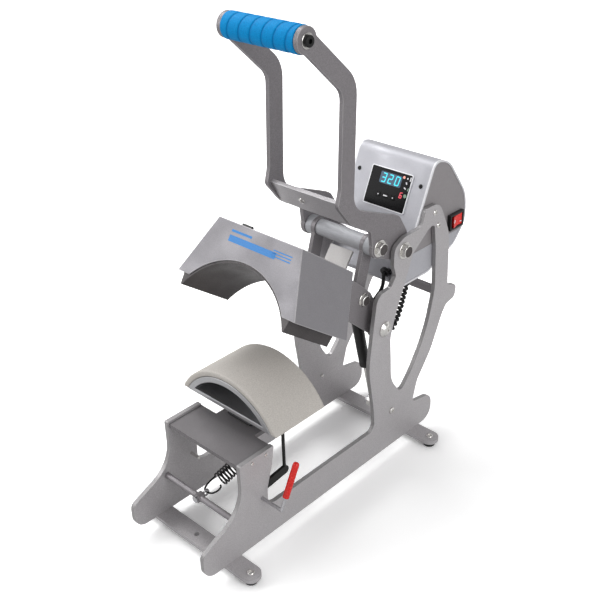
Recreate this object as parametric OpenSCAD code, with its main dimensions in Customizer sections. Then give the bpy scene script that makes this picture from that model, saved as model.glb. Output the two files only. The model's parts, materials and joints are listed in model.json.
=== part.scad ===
// Cap heat press: curved heater over a curved platen, closed by a toggle handle.
// Lengths are in millimetres. X is to the operator's right, Y to the rear and Z up.
// Side outlines are drawn as [y, z, corner radius], with y from the front face of the
// front column and z from the lower edge of the side plates.

/* [Frame] */
// Thickness of each side plate
plate_t = 6; // [4:0.5:8]
// Clear width between the side plates
inner_w = 127; // [124:1:136]
// Height of the side plates at the front column
column_h = 133; // [125:1:138]
// Width of the front column at its top, front to rear
column_w = 57; // [52:1:60]
// Height of the low rail that joins front column and upright
rail_h = 46.5; // [40:0.5:50]
// Reach of the front toe ahead of the column
toe_reach = 67; // [60:1:75]
// Distance from the column to the heel at the rear
heel_y = 379; // [372:1:390]
// Distance from the column to the front edge of the upright
upright_y = 247; // [244:1:249]
// Width of the flat bars under the side plates
bar_w = 26; // [24:1:32]
// Thickness of the flat bars
bar_t = 6; // [4:0.5:8]
// Length of the flat bars, tip to tip
bar_len = 224; // [218:1:240]
// Distance from the column to the middle of the rear bar
rear_bar_y = 338; // [332:1:344]
// Set-back of the front bar's middle, ahead of the column
front_bar_reach = 20; // [14:1:24]
// Height of the rubber feet
foot_h = 8; // [6:0.5:12]
// Radius of the rubber feet
foot_r = 9; // [7:0.5:11]
// Radius of the bench bolt hole in each flat bar
bench_hole_r = 3.3; // [2.5:0.1:5]
// Thickness of the shelf plate
shelf_t = 6; // [4:0.5:8]

/* [Pivots] */
// Handle pivot behind the column
handle_pivot_y = 305; // [303:0.5:306]
// Handle pivot above the plate's lower edge
handle_pivot_z = 302; // [300:0.5:303]
// Head pivot behind the column
head_pivot_y = 268; // [267:0.5:269]
// Head pivot above the plate's lower edge
head_pivot_z = 201; // [200:0.5:202]
// Toggle tube behind the column, handle raised
toggle_y = 264; // [262:0.5:265]
// Toggle tube above the plate's lower edge, handle raised
toggle_z = 318; // [317:0.5:320]
// Lower link pivot behind the column, head raised
link_pivot_y = 243; // [242:0.5:244.5]
// Lower link pivot above the plate's lower edge, head raised
link_pivot_z = 249.75; // [249:0.25:251]
// Radius of the shafts at both frame pivots
shaft_r = 6; // [5:0.5:7]
// Radius of the lower link pins
pin_r = 5; // [4:0.5:6]
// Running clearance round a shaft, on the radius
run = 0.05; // [0.03:0.01:0.08]
// Clearance between faces that slide past each other
slip = 0.3; // [0.2:0.05:0.5]

/* [Handle] */
// Thickness of the handle arms
arm_t = 6; // [4:0.5:7]
// Gap between a handle arm and its side plate
arm_gap = 2; // [1.5:0.25:3]
// Grip axis behind the column, handle raised
grip_y = 141.5; // [138:0.5:145]
// Grip axis above the plate's lower edge, handle raised
grip_z = 602; // [595:1:610]
// Radius of the steel grip tube
grip_tube_r = 13; // [11:0.5:14]
// Thickness of the wrap on the grip
wrap_t = 2.8; // [2:0.2:4]
// Thickness of the cross plate between the arms
cross_t = 5; // [4:0.5:6]

/* [Toggle] */
// Half the clear width between the link arms
link_x = 38.6; // [36:0.2:40]
// Thickness of the link arms
link_t = 6; // [4:0.5:7]
// Width of the link arms
link_w = 20; // [18:1:24]
// Radius of the toggle tube
tube_r = 11; // [10:0.5:12]
// Radius of the collars outside the link arms
collar_r = 13; // [11.5:0.5:14]
// Radius of the pivot bolts' washers
washer_r = 11.5; // [10:0.5:12]
// Thickness of the washers
washer_t = 1.5; // [1:0.25:2.5]
// Width across the flats of the pivot bolts' heads
hex_af = 16; // [14:1:18]
// Height of the pivot bolts' heads
hex_h = 6; // [5:0.5:8]

/* [Head] */
// How far the head is swung open from the pressing position, in degrees
head_open = 36.5; // [34:0.5:37]
// Thickness of the head arms
head_arm_t = 6; // [4:0.5:7]
// Half the clear width between the head arms
head_arm_x = 47; // [46:0.5:48]
// Front face of the cover behind the column, head closed
cover_y = 43; // [40:1:46]
// Lower edge of the cover above the plate's lower edge, head closed
cover_z = 171.5; // [169:0.5:174]
// Depth of the cover, front to rear
cover_d = 109; // [105:1:112]
// Height of the cover
cover_h = 80; // [76:1:86]
// Width of the cover at its lower edge
cover_low_w = 200; // [196:1:208]
// Width of the cover at its top
cover_top_w = 139; // [134:1:146]
// Sheet thickness of the cover
sheet_t = 2; // [1.5:0.25:2.5]
// Radius of the heater's pressing face
heater_r = 98; // [95:0.5:99]
// Clearance between the heater's face and the arch cut in the cover's front
arch_gap = 2.5; // [2:0.25:4]
// Thickness of the heater
heater_t = 11; // [8:0.5:12]
// Depth of the heater, front to rear
heater_d = 90; // [80:1:95]
// How far the heater's lips reach below the cover
lip_h = 15; // [10:1:18]
// Height of the pressing arc's crown above the cover's lower edge
crown_h = 36.5; // [34:0.5:38]

/* [Platen] */
// Thickness of the cap between heater and pad
cap_gap = 1.6; // [1:0.1:3]
// Thickness of the silicone pad
pad_t = 8; // [6:0.5:10]
// Wall of the curved platen
platen_t = 8; // [6:0.5:10]
// Depth of the platen, front to rear
platen_d = 86; // [76:1:92]
// Radius of the platen post
post_r = 15; // [12:0.5:17]
// Height of the platen's lower edge above the side plates' lower edge
platen_z = 156; // [152:0.5:160]

/* [Hold-down] */
// Lever rod behind the column
lever_y = 33; // [31:0.5:34]
// Lever rod above the plate's lower edge
lever_z = 65.5; // [64:0.5:67]
// Radius of the lever rod and of the bail wire
lever_r = 2.2; // [1.8:0.1:2.4]
// Distance from the middle to the lever's bend
lever_x = 103; // [96:1:104]
// Radius of the red lever grip
lever_grip_r = 4.2; // [3.5:0.1:4.8]
// Length of the red lever grip
lever_grip_len = 47; // [40:1:52]
// Outer radius of the return spring
spring_r = 10.5; // [9:0.25:11]
// Wire radius of the return spring
spring_wire_r = 1.2; // [0.9:0.05:1.3]
// Turns of the return spring
spring_turns = 6; // [5:1:7]

/* [Control housing] */
// Sheet thickness of the housing
case_t = 2.5; // [2:0.25:3]
// Lean of the control panel from the vertical, in degrees
panel_lean = 24.5; // [23.5:0.25:25]
// Front lower edge of the housing behind the column
case_y = 302; // [301:0.5:304]
// Underside of the housing above the plate's lower edge
case_z = 244; // [241:0.5:246]
// Top of the housing above the plate's lower edge
case_top = 403; // [398:1:406]
// Rear of the housing behind the column
case_rear = 449; // [446:1:454]
// Width of the display
display_w = 67; // [60:1:70]
// Height of the display
display_h = 51; // [46:1:54]
// Thickness of the display bezel in front of the panel
display_t = 1.2; // [0.8:0.1:2]
// Travel of the display's buttons
button_travel = 0.6; // [0.4:0.1:0.8]
// Length of the rocker switch
rocker_l = 31; // [28:1:33]
// Height of the rocker switch
rocker_h = 23; // [20:1:25]

/* [Gas spring and its stud] */
// Gas spring's stud behind the column
tie_y = 286; // [284:0.5:288]
// Gas spring's stud above the plate's lower edge
tie_z = 60; // [58:0.5:62]
// Radius of the gas spring's stud
tie_r = 5; // [4:0.5:6]
// Radius of the gas spring's cylinder
gas_r = 7.5; // [6:0.5:8]
// Length of the gas spring's cylinder
gas_len = 112; // [100:1:120]
// Radius of the gas spring's rod
gas_rod_r = 3; // [2.5:0.25:4]
// Width of the gas spring's end eyes
gas_eye_w = 8; // [6:0.5:10]

/* [Leads] */
// Radius of the straight lead
lead_r = 2.5; // [2:0.1:3]
// Outer radius of the coiled lead
coil_r = 5.25; // [4:0.25:6]

/* [Hidden] */

// Fineness of round solids and of rounded corners
$fn = 64;
corner_step = 12;

// Places worked out from the driving dimensions
half_in = inner_w / 2;
half_out = half_in + plate_t;
arm_out = half_in - arm_gap;
arm_in = arm_out - arm_t;
plate_lift = foot_h + bar_t;
mid_y = (case_rear - toe_reach) / 2;
handle_pivot = [handle_pivot_y, handle_pivot_z];
head_pivot = [head_pivot_y, head_pivot_z];
toggle = [toggle_y, toggle_z];
link_pivot = [link_pivot_y, link_pivot_z];
grip = [grip_y, grip_z];
tie = [tie_y, tie_z];
lever = [lever_y, lever_z];
link_out = link_x + link_t;
head_arm_out = head_arm_x + head_arm_t;
collar_end = arm_in - slip;
foot_x = bar_len / 2 - bar_w / 2;
arc_z = cover_z + crown_h - heater_r;
arch_r = heater_r + arch_gap;
pad_r = heater_r - cap_gap;
platen_r = pad_r - pad_t;
platen_y = cover_y + 2 + heater_d / 2;
shelf_top = column_h - 3;
swivel_x = 41;
link_pivot_closed = turned(link_pivot, head_pivot, head_open);
toggle_closed = turned(toggle, head_pivot, head_open);
panel_up = [sin(panel_lean), cos(panel_lean)];
panel_out = [-cos(panel_lean), sin(panel_lean)];
case_end_x = half_in - case_t;
panel_mid = [case_y, case_z] + panel_up * 121.5;

// A point turned about a centre in the side view, from Y towards Z
function turned(p, centre, angle) =
    let (d = p - centre)
    centre + [d[0] * cos(angle) - d[1] * sin(angle), d[0] * sin(angle) + d[1] * cos(angle)];

function unit(v) = v / norm(v);

// The arc that rounds corner b between its neighbours a and c
function corner_arc(a, b, c, r) =
    let (
        to_a = unit(a - b),
        to_c = unit(c - b),
        half = acos(max(-1, min(1, to_a * to_c))) / 2,
        back = min(r / tan(half), 0.49 * min(norm(a - b), norm(c - b))),
        radius = back * tan(half),
        centre = b + unit(to_a + to_c) * back / cos(half),
        from = b + to_a * back - centre,
        to = b + to_c * back - centre,
        start = atan2(from[1], from[0]),
        raw = atan2(to[1], to[0]) - start,
        sweep = raw > 180 ? raw - 360 : raw < -180 ? raw + 360 : raw,
        steps = max(1, ceil(abs(sweep) / corner_step))
    )
    [for (i = [0:steps]) centre + radius * [cos(start + sweep * i / steps), sin(start + sweep * i / steps)]];

// An outline with rounded corners, from a list of [y, z, radius]
function rounded(corners) =
    let (n = len(corners))
    [for (i = [0:n - 1])
        let (a = corners[(i + n - 1) % n], b = corners[i], c = corners[(i + 1) % n])
        each (b[2] > 0
            ? corner_arc([a[0], a[1]], [b[0], b[1]], [c[0], c[1]], b[2])
            : [[b[0], b[1]]])];

// Everything is drawn in the side plates' own heights and then stands on its feet
module placed() {
    translate([0, -mid_y, plate_lift])
        children();
}

// The head is drawn closed and then swung open about its pivot
module swung_open() {
    translate([0, head_pivot_y, head_pivot_z])
        rotate([-head_open, 0, 0])
            translate([0, -head_pivot_y, -head_pivot_z])
                children();
}

module both_sides() {
    children();
    mirror([1, 0, 0])
        children();
}

// A flat plate with a side outline, from x0 to x1
module side_slab(corners, x0, x1) {
    translate([x0, 0, 0])
        rotate([90, 0, 90])
            linear_extrude(x1 - x0)
                polygon(rounded(corners));
}

// A round bar along X through a point of the side view
module x_rod(p, r, x0, x1) {
    translate([x0, p[0], p[1]])
        rotate([0, 90, 0])
            cylinder(r = r, h = x1 - x0);
}

// A hexagon bolt head along X
module x_hex(p, af, x0, x1) {
    translate([x0, p[0], p[1]])
        rotate([0, 90, 0])
            cylinder(r = af / sqrt(3), h = x1 - x0, $fn = 6);
}

// A flat bar between two points of the side view, with round ends
module x_link(a, b, w, x0, x1) {
    along = unit(b - a);
    across = [-along[1], along[0]] * w / 2;
    x_rod(a, w / 2, x0, x1);
    x_rod(b, w / 2, x0, x1);
    translate([x0, 0, 0])
        rotate([90, 0, 90])
            linear_extrude(x1 - x0)
                polygon([a - across, b - across, b + across, a + across]);
}

// Rings of a round tube that follows a list of points, for polyhedron()
function tangent(path, i) =
    unit(path[min(i + 1, len(path) - 1)] - path[max(i - 1, 0)]);
function ring(centre, along, r, sides) =
    let (
        side = unit(cross(along, abs(along[0]) > 0.9 ? [0, 0, 1] : [1, 0, 0])),
        other = cross(along, side)
    )
    [for (k = [0:sides - 1]) centre + r * (side * cos(360 * k / sides) + other * sin(360 * k / sides))];

module swept_tube(path, r, sides = 8) {
    n = len(path);
    rings = [for (i = [0:n - 1]) each ring(path[i], tangent(path, i), r, sides)];
    walls = [for (i = [0:n - 2], k = [0:sides - 1])
        let (k2 = (k + 1) % sides)
        each [
            [i * sides + k, (i + 1) * sides + k, (i + 1) * sides + k2],
            [i * sides + k, (i + 1) * sides + k2, i * sides + k2]
        ]];
    start = [for (k = [0:sides - 1]) k];
    finish = [for (k = [sides - 1:-1:0]) (n - 1) * sides + k];
    polyhedron(points = rings, faces = concat([start], walls, [finish]));
}

// A smooth path through hand-chosen points, with a few steps in each span
function spline_at(p, i, t) =
    let (
        n = len(p),
        a = p[max(i - 1, 0)],
        b = p[i],
        c = p[min(i + 1, n - 1)],
        d = p[min(i + 2, n - 1)]
    )
    0.5 * ((2 * b) + (c - a) * t + (2 * a - 5 * b + 4 * c - d) * t * t + (3 * b - a - 3 * c + d) * t * t * t);
function smooth_path(p, steps) =
    concat([for (i = [0:len(p) - 2], s = [0:steps - 1]) spline_at(p, i, s / steps)], [p[len(p) - 1]]);

// ---- Frame ----

// Outer edge of a side plate
plate_outline = [
    [0, column_h, 2],
    [0, 67, 57],
    [-toe_reach, 38, 11],
    [-toe_reach, 0, 20],
    [heel_y, 0, 27],
    [heel_y, 40, 17],
    [rear_bar_y - 5, 49, 6],
    [rear_bar_y + 5, 82, 20],
    [rear_bar_y + 34.5, 119.5, 60],
    [case_rear - 52, 170, 30],
    [case_rear - 44, 180, 10],
    [case_rear - 24, 184, 8],
    [case_rear - 21, 203, 8],
    [case_rear - 43, 210, 7],
    [case_rear - 44, 246, 90],
    [case_rear - 45, 292, 70],
    [case_rear - 70, 345, 22],
    [handle_pivot_y + 44, 345, 8],
    [handle_pivot_y + 36, handle_pivot_z + 20, 9],
    [handle_pivot_y, handle_pivot_z + 19, 18],
    [handle_pivot_y - 20, handle_pivot_z + 10, 14],
    [handle_pivot_y - 21, handle_pivot_z - 14, 10],
    [handle_pivot_y - 16, handle_pivot_z - 31, 5],
    [handle_pivot_y - 26, handle_pivot_z - 44, 7],
    [head_pivot_y - 16, head_pivot_z + 55, 20],
    [head_pivot_y - 25, head_pivot_z - 1, 80],
    [upright_y - 11, 150, 90],
    [upright_y, 80, 40],
    [upright_y + 2, rail_h, 12],
    [42, rail_h, 14],
    [43, 76, 25],
    [52, 105, 50],
    [column_w, column_h, 1.5]
];

// The tall opening between the upright and the rear bow
window_outline = [
    [handle_pivot_y + 19, 290, 6],
    [handle_pivot_y + 50, 313, 6],
    [case_rear - 80, 318, 6],
    [case_rear - 75, 280, 40],
    [case_rear - 72.5, 216, 80],
    [rear_bar_y + 26.5, 170, 80],
    [rear_bar_y + 12, 137.5, 80],
    [rear_bar_y - 9, 106, 60],
    [305, 80, 9],
    [283.5, 112, 40],
    [280, 182, 30],
    [291, 216, 30],
    [306.5, 250, 30]
];

case_screw_places = [
    [handle_pivot_y + 63.5, handle_pivot_z + 31.4],
    [handle_pivot_y + 72, handle_pivot_z + 10.4]
];
shelf_screw_places = [[20, shelf_top - shelf_t / 2], [column_w - 14, shelf_top - shelf_t / 2]];
shelf_screw_r = 1.5;
anchor_at = [-10, 55];
anchor_r = 4;
anchor_boss_r = 6;
anchor_boss_half = 5;
rear_tie_fore = 69;
rear_tie_z = 212;
rear_tie_at = [case_rear - rear_tie_fore, rear_tie_z];
rear_tie_w = 13;
rear_tie_t = 5;
small_screw_r = 2.5;
tie_screw_head_r = 5;

module side_plate() {
    difference() {
        side_slab(plate_outline, half_in, half_out);
        side_slab(window_outline, half_in - 1, half_out + 1);
        x_rod(handle_pivot, shaft_r, half_in - 1, half_out + 1);
        x_rod(head_pivot, shaft_r, half_in - 1, half_out + 1);
        x_rod(tie, small_screw_r, half_in - 1, half_out + 1);
        x_rod(lever, lever_r + run, half_in - 1, half_out + 1);
        for (p = case_screw_places)
            x_rod(p, small_screw_r, half_in - 1, half_out + 1);
        for (p = shelf_screw_places)
            x_rod(p, shelf_screw_r, half_in - 1, half_out + 1);
    }
}

module side_plate_left() {
    color("#7f7b7e")
        placed()
            mirror([1, 0, 0])
                side_plate();
}

module side_plate_right() {
    color("#aba8ac")
        placed()
            side_plate();
}

// A flat bar under both side plates, with a foot bolt hole at each end
foot_bolt_r = 3;
module foot_bar(y) {
    difference() {
        union() {
            translate([-foot_x, y - bar_w / 2, -bar_t])
                cube([2 * foot_x, bar_w, bar_t]);
            both_sides()
                translate([foot_x, y, -bar_t])
                    cylinder(r = bar_w / 2, h = bar_t);
        }
        both_sides()
            translate([foot_x, y, -bar_t - 1])
                cylinder(r = foot_bolt_r, h = bar_t + 2);
        translate([0, y, -bar_t - 1])
            cylinder(r = bench_hole_r, h = bar_t + 2);
    }
}

module front_foot_bar() {
    color("#8f8c90")
        placed()
            foot_bar(-front_bar_reach);
}

module rear_foot_bar() {
    color("#8f8c90")
        placed()
            foot_bar(rear_bar_y);
}

module at_feet() {
    for (y = [-front_bar_reach, rear_bar_y], side = [-1, 1])
        translate([side * foot_x, y, 0])
            children();
}

module rubber_feet() {
    color("#141414")
        placed()
            at_feet()
                difference() {
                    translate([0, 0, -bar_t - foot_h])
                        cylinder(r1 = foot_r - 1, r2 = foot_r, h = foot_h);
                    translate([0, 0, -bar_t - foot_h / 2])
                        cylinder(r = foot_bolt_r, h = foot_h);
                }
}

module foot_bolts() {
    color("#b9b6b2")
        placed()
            at_feet() {
                translate([0, 0, -bar_t - foot_h / 2])
                    cylinder(r = foot_bolt_r, h = bar_t + foot_h / 2);
                cylinder(r = foot_bolt_r + 2, h = 2.4);
            }
}

// The shelf between the columns, with a tongue that carries the platen's post
module shelf_plate() {
    color("#807d80")
        placed()
            difference() {
                union() {
                    translate([-half_in, 2.5, shelf_top - shelf_t])
                        cube([inner_w, column_w - 2.5, shelf_t]);
                    translate([-35, column_w - 1, shelf_top - shelf_t])
                        cube([70, platen_y + post_r + 5 - column_w, shelf_t]);
                }
                both_sides()
                    for (p = shelf_screw_places)
                        x_rod(p, shelf_screw_r, half_in - 12, half_in + 1);
            }
}

// The rod low between the columns that anchors the return spring
module spring_rod() {
    color("#8f8c90")
        placed()
            difference() {
                union() {
                    x_rod(anchor_at, anchor_r, -half_in, half_in);
                    translate([0, anchor_at[0] - anchor_boss_half, anchor_at[1]])
                        rotate([-90, 0, 0])
                            cylinder(r = anchor_boss_r, h = 2 * anchor_boss_half);
                }
                translate([0, anchor_at[0] - anchor_boss_half - 1, anchor_at[1]])
                    rotate([-90, 0, 0])
                        cylinder(r = small_screw_r, h = 2 * anchor_boss_half + 2);
            }
}

// The eye screw that the return spring hooks into
eye_r = 4;
eye_wire_r = 1.4;
eye_shank = 2;
screw_head_h = 2.5;
eye_centre = [0, anchor_at[0] + anchor_boss_half + eye_shank + eye_r, anchor_at[1]];
module spring_eye() {
    boss_front = anchor_at[0] - anchor_boss_half;
    color("#b9b6b2")
        placed() {
            translate([0, boss_front - screw_head_h, anchor_at[1]])
                rotate([-90, 0, 0])
                    cylinder(r = small_screw_r, h = screw_head_h + 2 * anchor_boss_half + eye_shank);
            translate([0, boss_front - screw_head_h, anchor_at[1]])
                rotate([-90, 0, 0])
                    cylinder(r = small_screw_r + 2, h = screw_head_h);
            translate(eye_centre)
                rotate([0, 90, 0])
                    rotate_extrude($fn = 32)
                        translate([eye_r, 0])
                            circle(r = eye_wire_r, $fn = 16);
        }
}

module rear_tie_bar() {
    color("#757275")
        placed()
            translate([-half_in, rear_tie_at[0] - rear_tie_t / 2, rear_tie_at[1] - rear_tie_w / 2])
                cube([inner_w, rear_tie_t, rear_tie_w]);
}

// The stud on the right upright that carries the gas spring's foot
module lower_tie_rod() {
    color("#a8a5a8")
        placed()
            difference() {
                union() {
                    x_rod(tie, tie_r, gas_x0 - 3, half_in);
                    x_rod(tie, tie_r + 2.5, gas_x0 - 3, gas_x0 - slip);
                    x_rod(tie, tie_r + 2.5, gas_x0 + gas_eye_w + slip, half_in);
                }
                x_rod(tie, small_screw_r, half_in - 14, half_in + 1);
            }
}

// Screws through the side plates into the shelf and the gas spring's stud, a short screw in the
// left plate's matching hole, and the pin on which the hold-down lever can be mounted instead
spare_pin_len = 15;
module frame_screws() {
    color("#c9c6c3")
        placed() {
            mirror([1, 0, 0]) {
                x_rod(lever, lever_r, half_in - spare_pin_len, half_out);
                x_rod(lever, lever_r + 1.6, half_out, half_out + 1.6);
                x_rod(tie, small_screw_r, half_in - 3, half_out);
            }
            x_rod(tie, small_screw_r, half_in - 14, half_out);
            both_sides() {
                x_rod(tie, tie_screw_head_r, half_out, half_out + 2.5);
                for (p = shelf_screw_places) {
                    x_rod(p, shelf_screw_r, half_in - 12, half_out);
                    x_rod(p, shelf_screw_r + 1.2, half_out, half_out + 1.6);
                }
            }
        }
}

module handle_pivot_shaft() {
    color("#a8a5a8")
        placed()
            x_rod(handle_pivot, shaft_r, -half_out, half_out);
}

// Washer and hexagon head outside a face
module pivot_head(p, x) {
    x_rod(p, washer_r, x, x + washer_t);
    x_hex(p, hex_af, x + washer_t, x + washer_t + hex_h);
}

// Bolt heads at the handle pivot, and the flatter heads at the head pivot
module pivot_bolts() {
    color("#dedcd8")
        placed()
            both_sides() {
                pivot_head(handle_pivot, half_out);
                x_rod(head_pivot, washer_r - 0.5, half_out, half_out + 2);
                x_rod(head_pivot, 7, half_out + 2, half_out + 6);
            }
}

// Thin washers between arm and side plate, and the tube that keeps the arms apart
module handle_pivot_spacers() {
    color("#a8a5a8")
        placed() {
            both_sides()
                difference() {
                    x_rod(handle_pivot, 11, arm_out + slip / 2, half_in);
                    x_rod(handle_pivot, shaft_r, arm_out, half_in + 1);
                }
            difference() {
                x_rod(handle_pivot, 9, -collar_end, collar_end);
                x_rod(handle_pivot, shaft_r, -arm_in, arm_in);
            }
        }
}

// Shoulder pins in the two side plates, which leave the middle free
module head_pivot_pins() {
    color("#a8a5a8")
        placed()
            both_sides()
                x_rod(head_pivot, shaft_r, head_arm_x, half_out);
}

// ---- Lower platen ----

// A curved slab under the pressing arc, cut off at a given height
module arched(r_out, r_in, depth, low_z) {
    intersection() {
        translate([0, platen_y - depth / 2, arc_z])
            rotate([-90, 0, 0])
                difference() {
                    cylinder(r = r_out, h = depth, $fn = 128);
                    translate([0, 0, -1])
                        cylinder(r = r_in, h = depth + 2, $fn = 128);
                }
        translate([-r_out - 1, platen_y - depth / 2 - 1, low_z])
            cube([2 * r_out + 2, depth + 2, 2 * r_out]);
    }
}

platen_base_t = 6;
module platen_post() {
    color("#8f8c90")
        placed()
            difference() {
                translate([0, platen_y, shelf_top])
                    cylinder(r = post_r, h = platen_z - shelf_top);
                translate([0, platen_y, shelf_top - 1])
                    cylinder(r = small_screw_r + 1.5, h = platen_z - shelf_top + 2);
            }
}

module lower_platen() {
    base_half = sqrt(pow(platen_r - platen_t / 2, 2) - pow(platen_z - arc_z, 2));
    color("#a8a5a8")
        placed() {
            arched(platen_r, platen_r - platen_t, platen_d, platen_z);
            translate([-base_half, platen_y - platen_d / 2, platen_z])
                cube([2 * base_half, platen_d, platen_base_t]);
        }
}

module platen_pad() {
    color("#c9c5bd")
        placed()
            arched(pad_r, platen_r, platen_d, platen_z);
}

// ---- Hold-down: a sprung yoke whose fingers pin the cap's band on the shelf's tongue ----

yoke_x = 59;
yoke_t = 4;
yoke_mid = yoke_x - yoke_t / 2;
spring_bar = [62, 69];
spring_bar_r = 3.5;
spring_bar_end = 8;
finger_at = [85, shelf_top + 2 + lever_r];
finger_root = [85, 72];
finger_x = 20;
finger_front = 66;
lever_lean = 27;
lever_len = 62;

module lever_axis() {
    translate([lever_x, lever_y, lever_z])
        rotate([-lever_lean, 0, 0])
            children();
}

module hold_down_rod() {
    color("#c9c6c3")
        placed() {
            x_rod(lever, lever_r, yoke_x - yoke_t, lever_x);
            lever_axis() {
                sphere(r = lever_r, $fn = 24);
                cylinder(r = lever_r, h = lever_len, $fn = 24);
            }
        }
}

// A wire along Y at the fingers' height, with round ends
module finger_wire(x, y0, y1) {
    for (y = [y0, y1])
        translate([x, y, finger_at[1]])
            sphere(r = lever_r, $fn = 24);
    translate([x, y0, finger_at[1]])
        rotate([-90, 0, 0])
            cylinder(r = lever_r, h = y1 - y0, $fn = 24);
}

// The right arm carries a wire that passes round the post to a finger on each side
module hold_down_yoke() {
    color("#3a3839")
        placed() {
            difference() {
                x_link(lever, finger_root, 12, yoke_x - yoke_t, yoke_x);
                x_rod(lever, lever_r, yoke_x - yoke_t - 1, yoke_x + 1);
            }
            x_rod(spring_bar, spring_bar_r, -spring_bar_end, yoke_mid);
            translate([yoke_mid, finger_root[0], finger_root[1]])
                cylinder(r = lever_r, h = finger_at[1] - finger_root[1], $fn = 24);
            translate([yoke_mid, finger_at[0], finger_at[1]])
                sphere(r = lever_r, $fn = 24);
            both_sides() {
                x_rod(finger_at, lever_r, finger_x, yoke_mid - 1);
                finger_wire(finger_x, finger_front, finger_at[0]);
            }
            x_rod([finger_front, finger_at[1]], lever_r, -finger_x, finger_x);
        }
}

module hold_down_grip() {
    grip_from = lever_len + 1.5 - lever_grip_len;
    color("#e2231a")
        placed()
            lever_axis()
                difference() {
                    translate([0, 0, grip_from])
                        cylinder(r = lever_grip_r, h = lever_grip_len);
                    translate([0, 0, grip_from - 1])
                        cylinder(r = lever_r, h = lever_grip_len - 0.5, $fn = 24);
                }
}

// Return spring: an open hook through the eye, a helix, and a loop round the yoke's bar
spring_steps = 12;
hook_len = 25;
spring_mean_r = spring_r - spring_wire_r;
spring_end = [0, spring_bar[0], spring_bar[1]];
spring_span = norm(spring_end - eye_centre);
spring_along = unit(spring_end - eye_centre);
spring_across = [0, -spring_along[2], spring_along[1]];
loop_r = spring_bar_r + spring_wire_r + 0.2;
coil_len = spring_span - loop_r - 4 - hook_len;

// A point of the spring, from the distance along its axis and the offsets from it
function spring_at(along, x, across = 0) =
    eye_centre + spring_along * along + spring_across * across + [x, 0, 0];
spring_path = concat(
    [for (p = [[19, 7], [17.5, 9.6], [13, 11], [7.5, 10], [3, 6.5], [1, 0],
        [2.2, -4.5], [6, -7.3], [12, -8.8], [20, -9.3]])
        spring_at(p[0], p[1])],
    [for (i = [0:spring_turns * spring_steps])
        let (turn = 360 * i / spring_steps)
        spring_at(hook_len + coil_len * i / spring_turns / spring_steps,
            -spring_mean_r * cos(turn), spring_mean_r * sin(turn))],
    [spring_at(hook_len + coil_len + 2, -spring_mean_r / 2)],
    [for (t = [180:-30:-30]) spring_at(spring_span + loop_r * cos(t), 0, loop_r * sin(t))]
);

module hold_down_spring() {
    color("#1c1c1c")
        placed()
            swept_tube(spring_path, spring_wire_r, 6);
}

// ---- Handle ----

arm_end_r = 15;
toggle_lobe_r = 14;
arm_lobe_r = 16;
arm_outline = [
    [grip_y - 8.5, grip_z - 7.5, 0],
    [grip_y + 56, 533, 22],
    [192.5, 418, 30],
    [187, 398, 8],
    [212, 366, 40],
    [toggle_y - 16, toggle_z + 28, 8],
    [toggle_y - toggle_lobe_r, toggle_z + 8, 8],
    [toggle_y, toggle_z - toggle_lobe_r, 10],
    [handle_pivot_y - 4, handle_pivot_z - arm_lobe_r, 8],
    [handle_pivot_y + arm_lobe_r, handle_pivot_z - 4, 8],
    [handle_pivot_y + 15, handle_pivot_z + 20, 12],
    [handle_pivot_y - 2, handle_pivot_z + 48, 18],
    [215, 387, 26],
    [221.5, 544, 40],
    [grip_y + 8.5, grip_z + 8.5, 0]
];

module handle_arm() {
    difference() {
        union() {
            side_slab(arm_outline, arm_in, arm_out);
            x_rod(grip, arm_end_r, arm_in, arm_out);
            x_rod(toggle, toggle_lobe_r, arm_in, arm_out);
            x_rod(handle_pivot, arm_lobe_r, arm_in, arm_out);
        }
        x_rod(grip, small_screw_r + 1.5, arm_in - 1, arm_out + 1);
        x_rod(toggle, shaft_r, arm_in - 1, arm_out + 1);
        x_rod(handle_pivot, shaft_r + run, arm_in - 1, arm_out + 1);
    }
}

module handle_arm_left() {
    color("#7d797b")
        placed()
            mirror([1, 0, 0])
                handle_arm();
}

module handle_arm_right() {
    color("#7d797b")
        placed()
            handle_arm();
}

cross_top = [192.5, 400];
cross_low = [211, 367];
cross_along = unit(cross_low - cross_top);
cross_face = [-cross_along[1], cross_along[0]];
cross_mid = (cross_top + cross_low) / 2;
cross_screw_x = -11;

// The cross plate's screw hole, with Z going into the plate from its front face
module on_cross_plate() {
    translate([cross_screw_x, cross_mid[0], cross_mid[1]])
        rotate([atan2(-cross_face[0], cross_face[1]), 0, 0])
            children();
}

module handle_cross_plate() {
    inner = cross_face * cross_t;
    color("#8f8c90")
        placed()
            difference() {
                translate([-arm_in, 0, 0])
                    rotate([90, 0, 90])
                        linear_extrude(2 * arm_in)
                            polygon([cross_top, cross_low, cross_low + inner, cross_top + inner]);
                on_cross_plate()
                    translate([0, 0, -3])
                        cylinder(r = small_screw_r, h = cross_t + 6);
            }
}

module grip_tube() {
    color("#a8a5a8")
        placed()
            difference() {
                x_rod(grip, grip_tube_r, -arm_in, arm_in);
                x_rod(grip, small_screw_r + 1.5, -arm_in - 1, arm_in + 1);
            }
}

module grip_wrap() {
    color("#1a8ad0")
        placed()
            difference() {
                x_rod(grip, grip_tube_r + wrap_t, 0.5 - arm_in, arm_in - 0.5);
                x_rod(grip, grip_tube_r, -arm_in - 1, arm_in + 1);
            }
}

// Socket bolts in the ends of the grip, and the screw in the cross plate
module handle_screws() {
    color("#1c1c1c")
        placed() {
            both_sides()
                difference() {
                    union() {
                        x_rod(grip, small_screw_r + 1.5, arm_in - 25, arm_out);
                        x_rod(grip, 6.5, arm_out, arm_out + 5);
                    }
                    x_hex(grip, 5, arm_out + 2, arm_out + 6);
                }
            on_cross_plate() {
                translate([0, 0, -2])
                    cylinder(r = small_screw_r + 2, h = 2);
                cylinder(r = small_screw_r, h = cross_t + 3);
            }
        }
}

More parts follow.
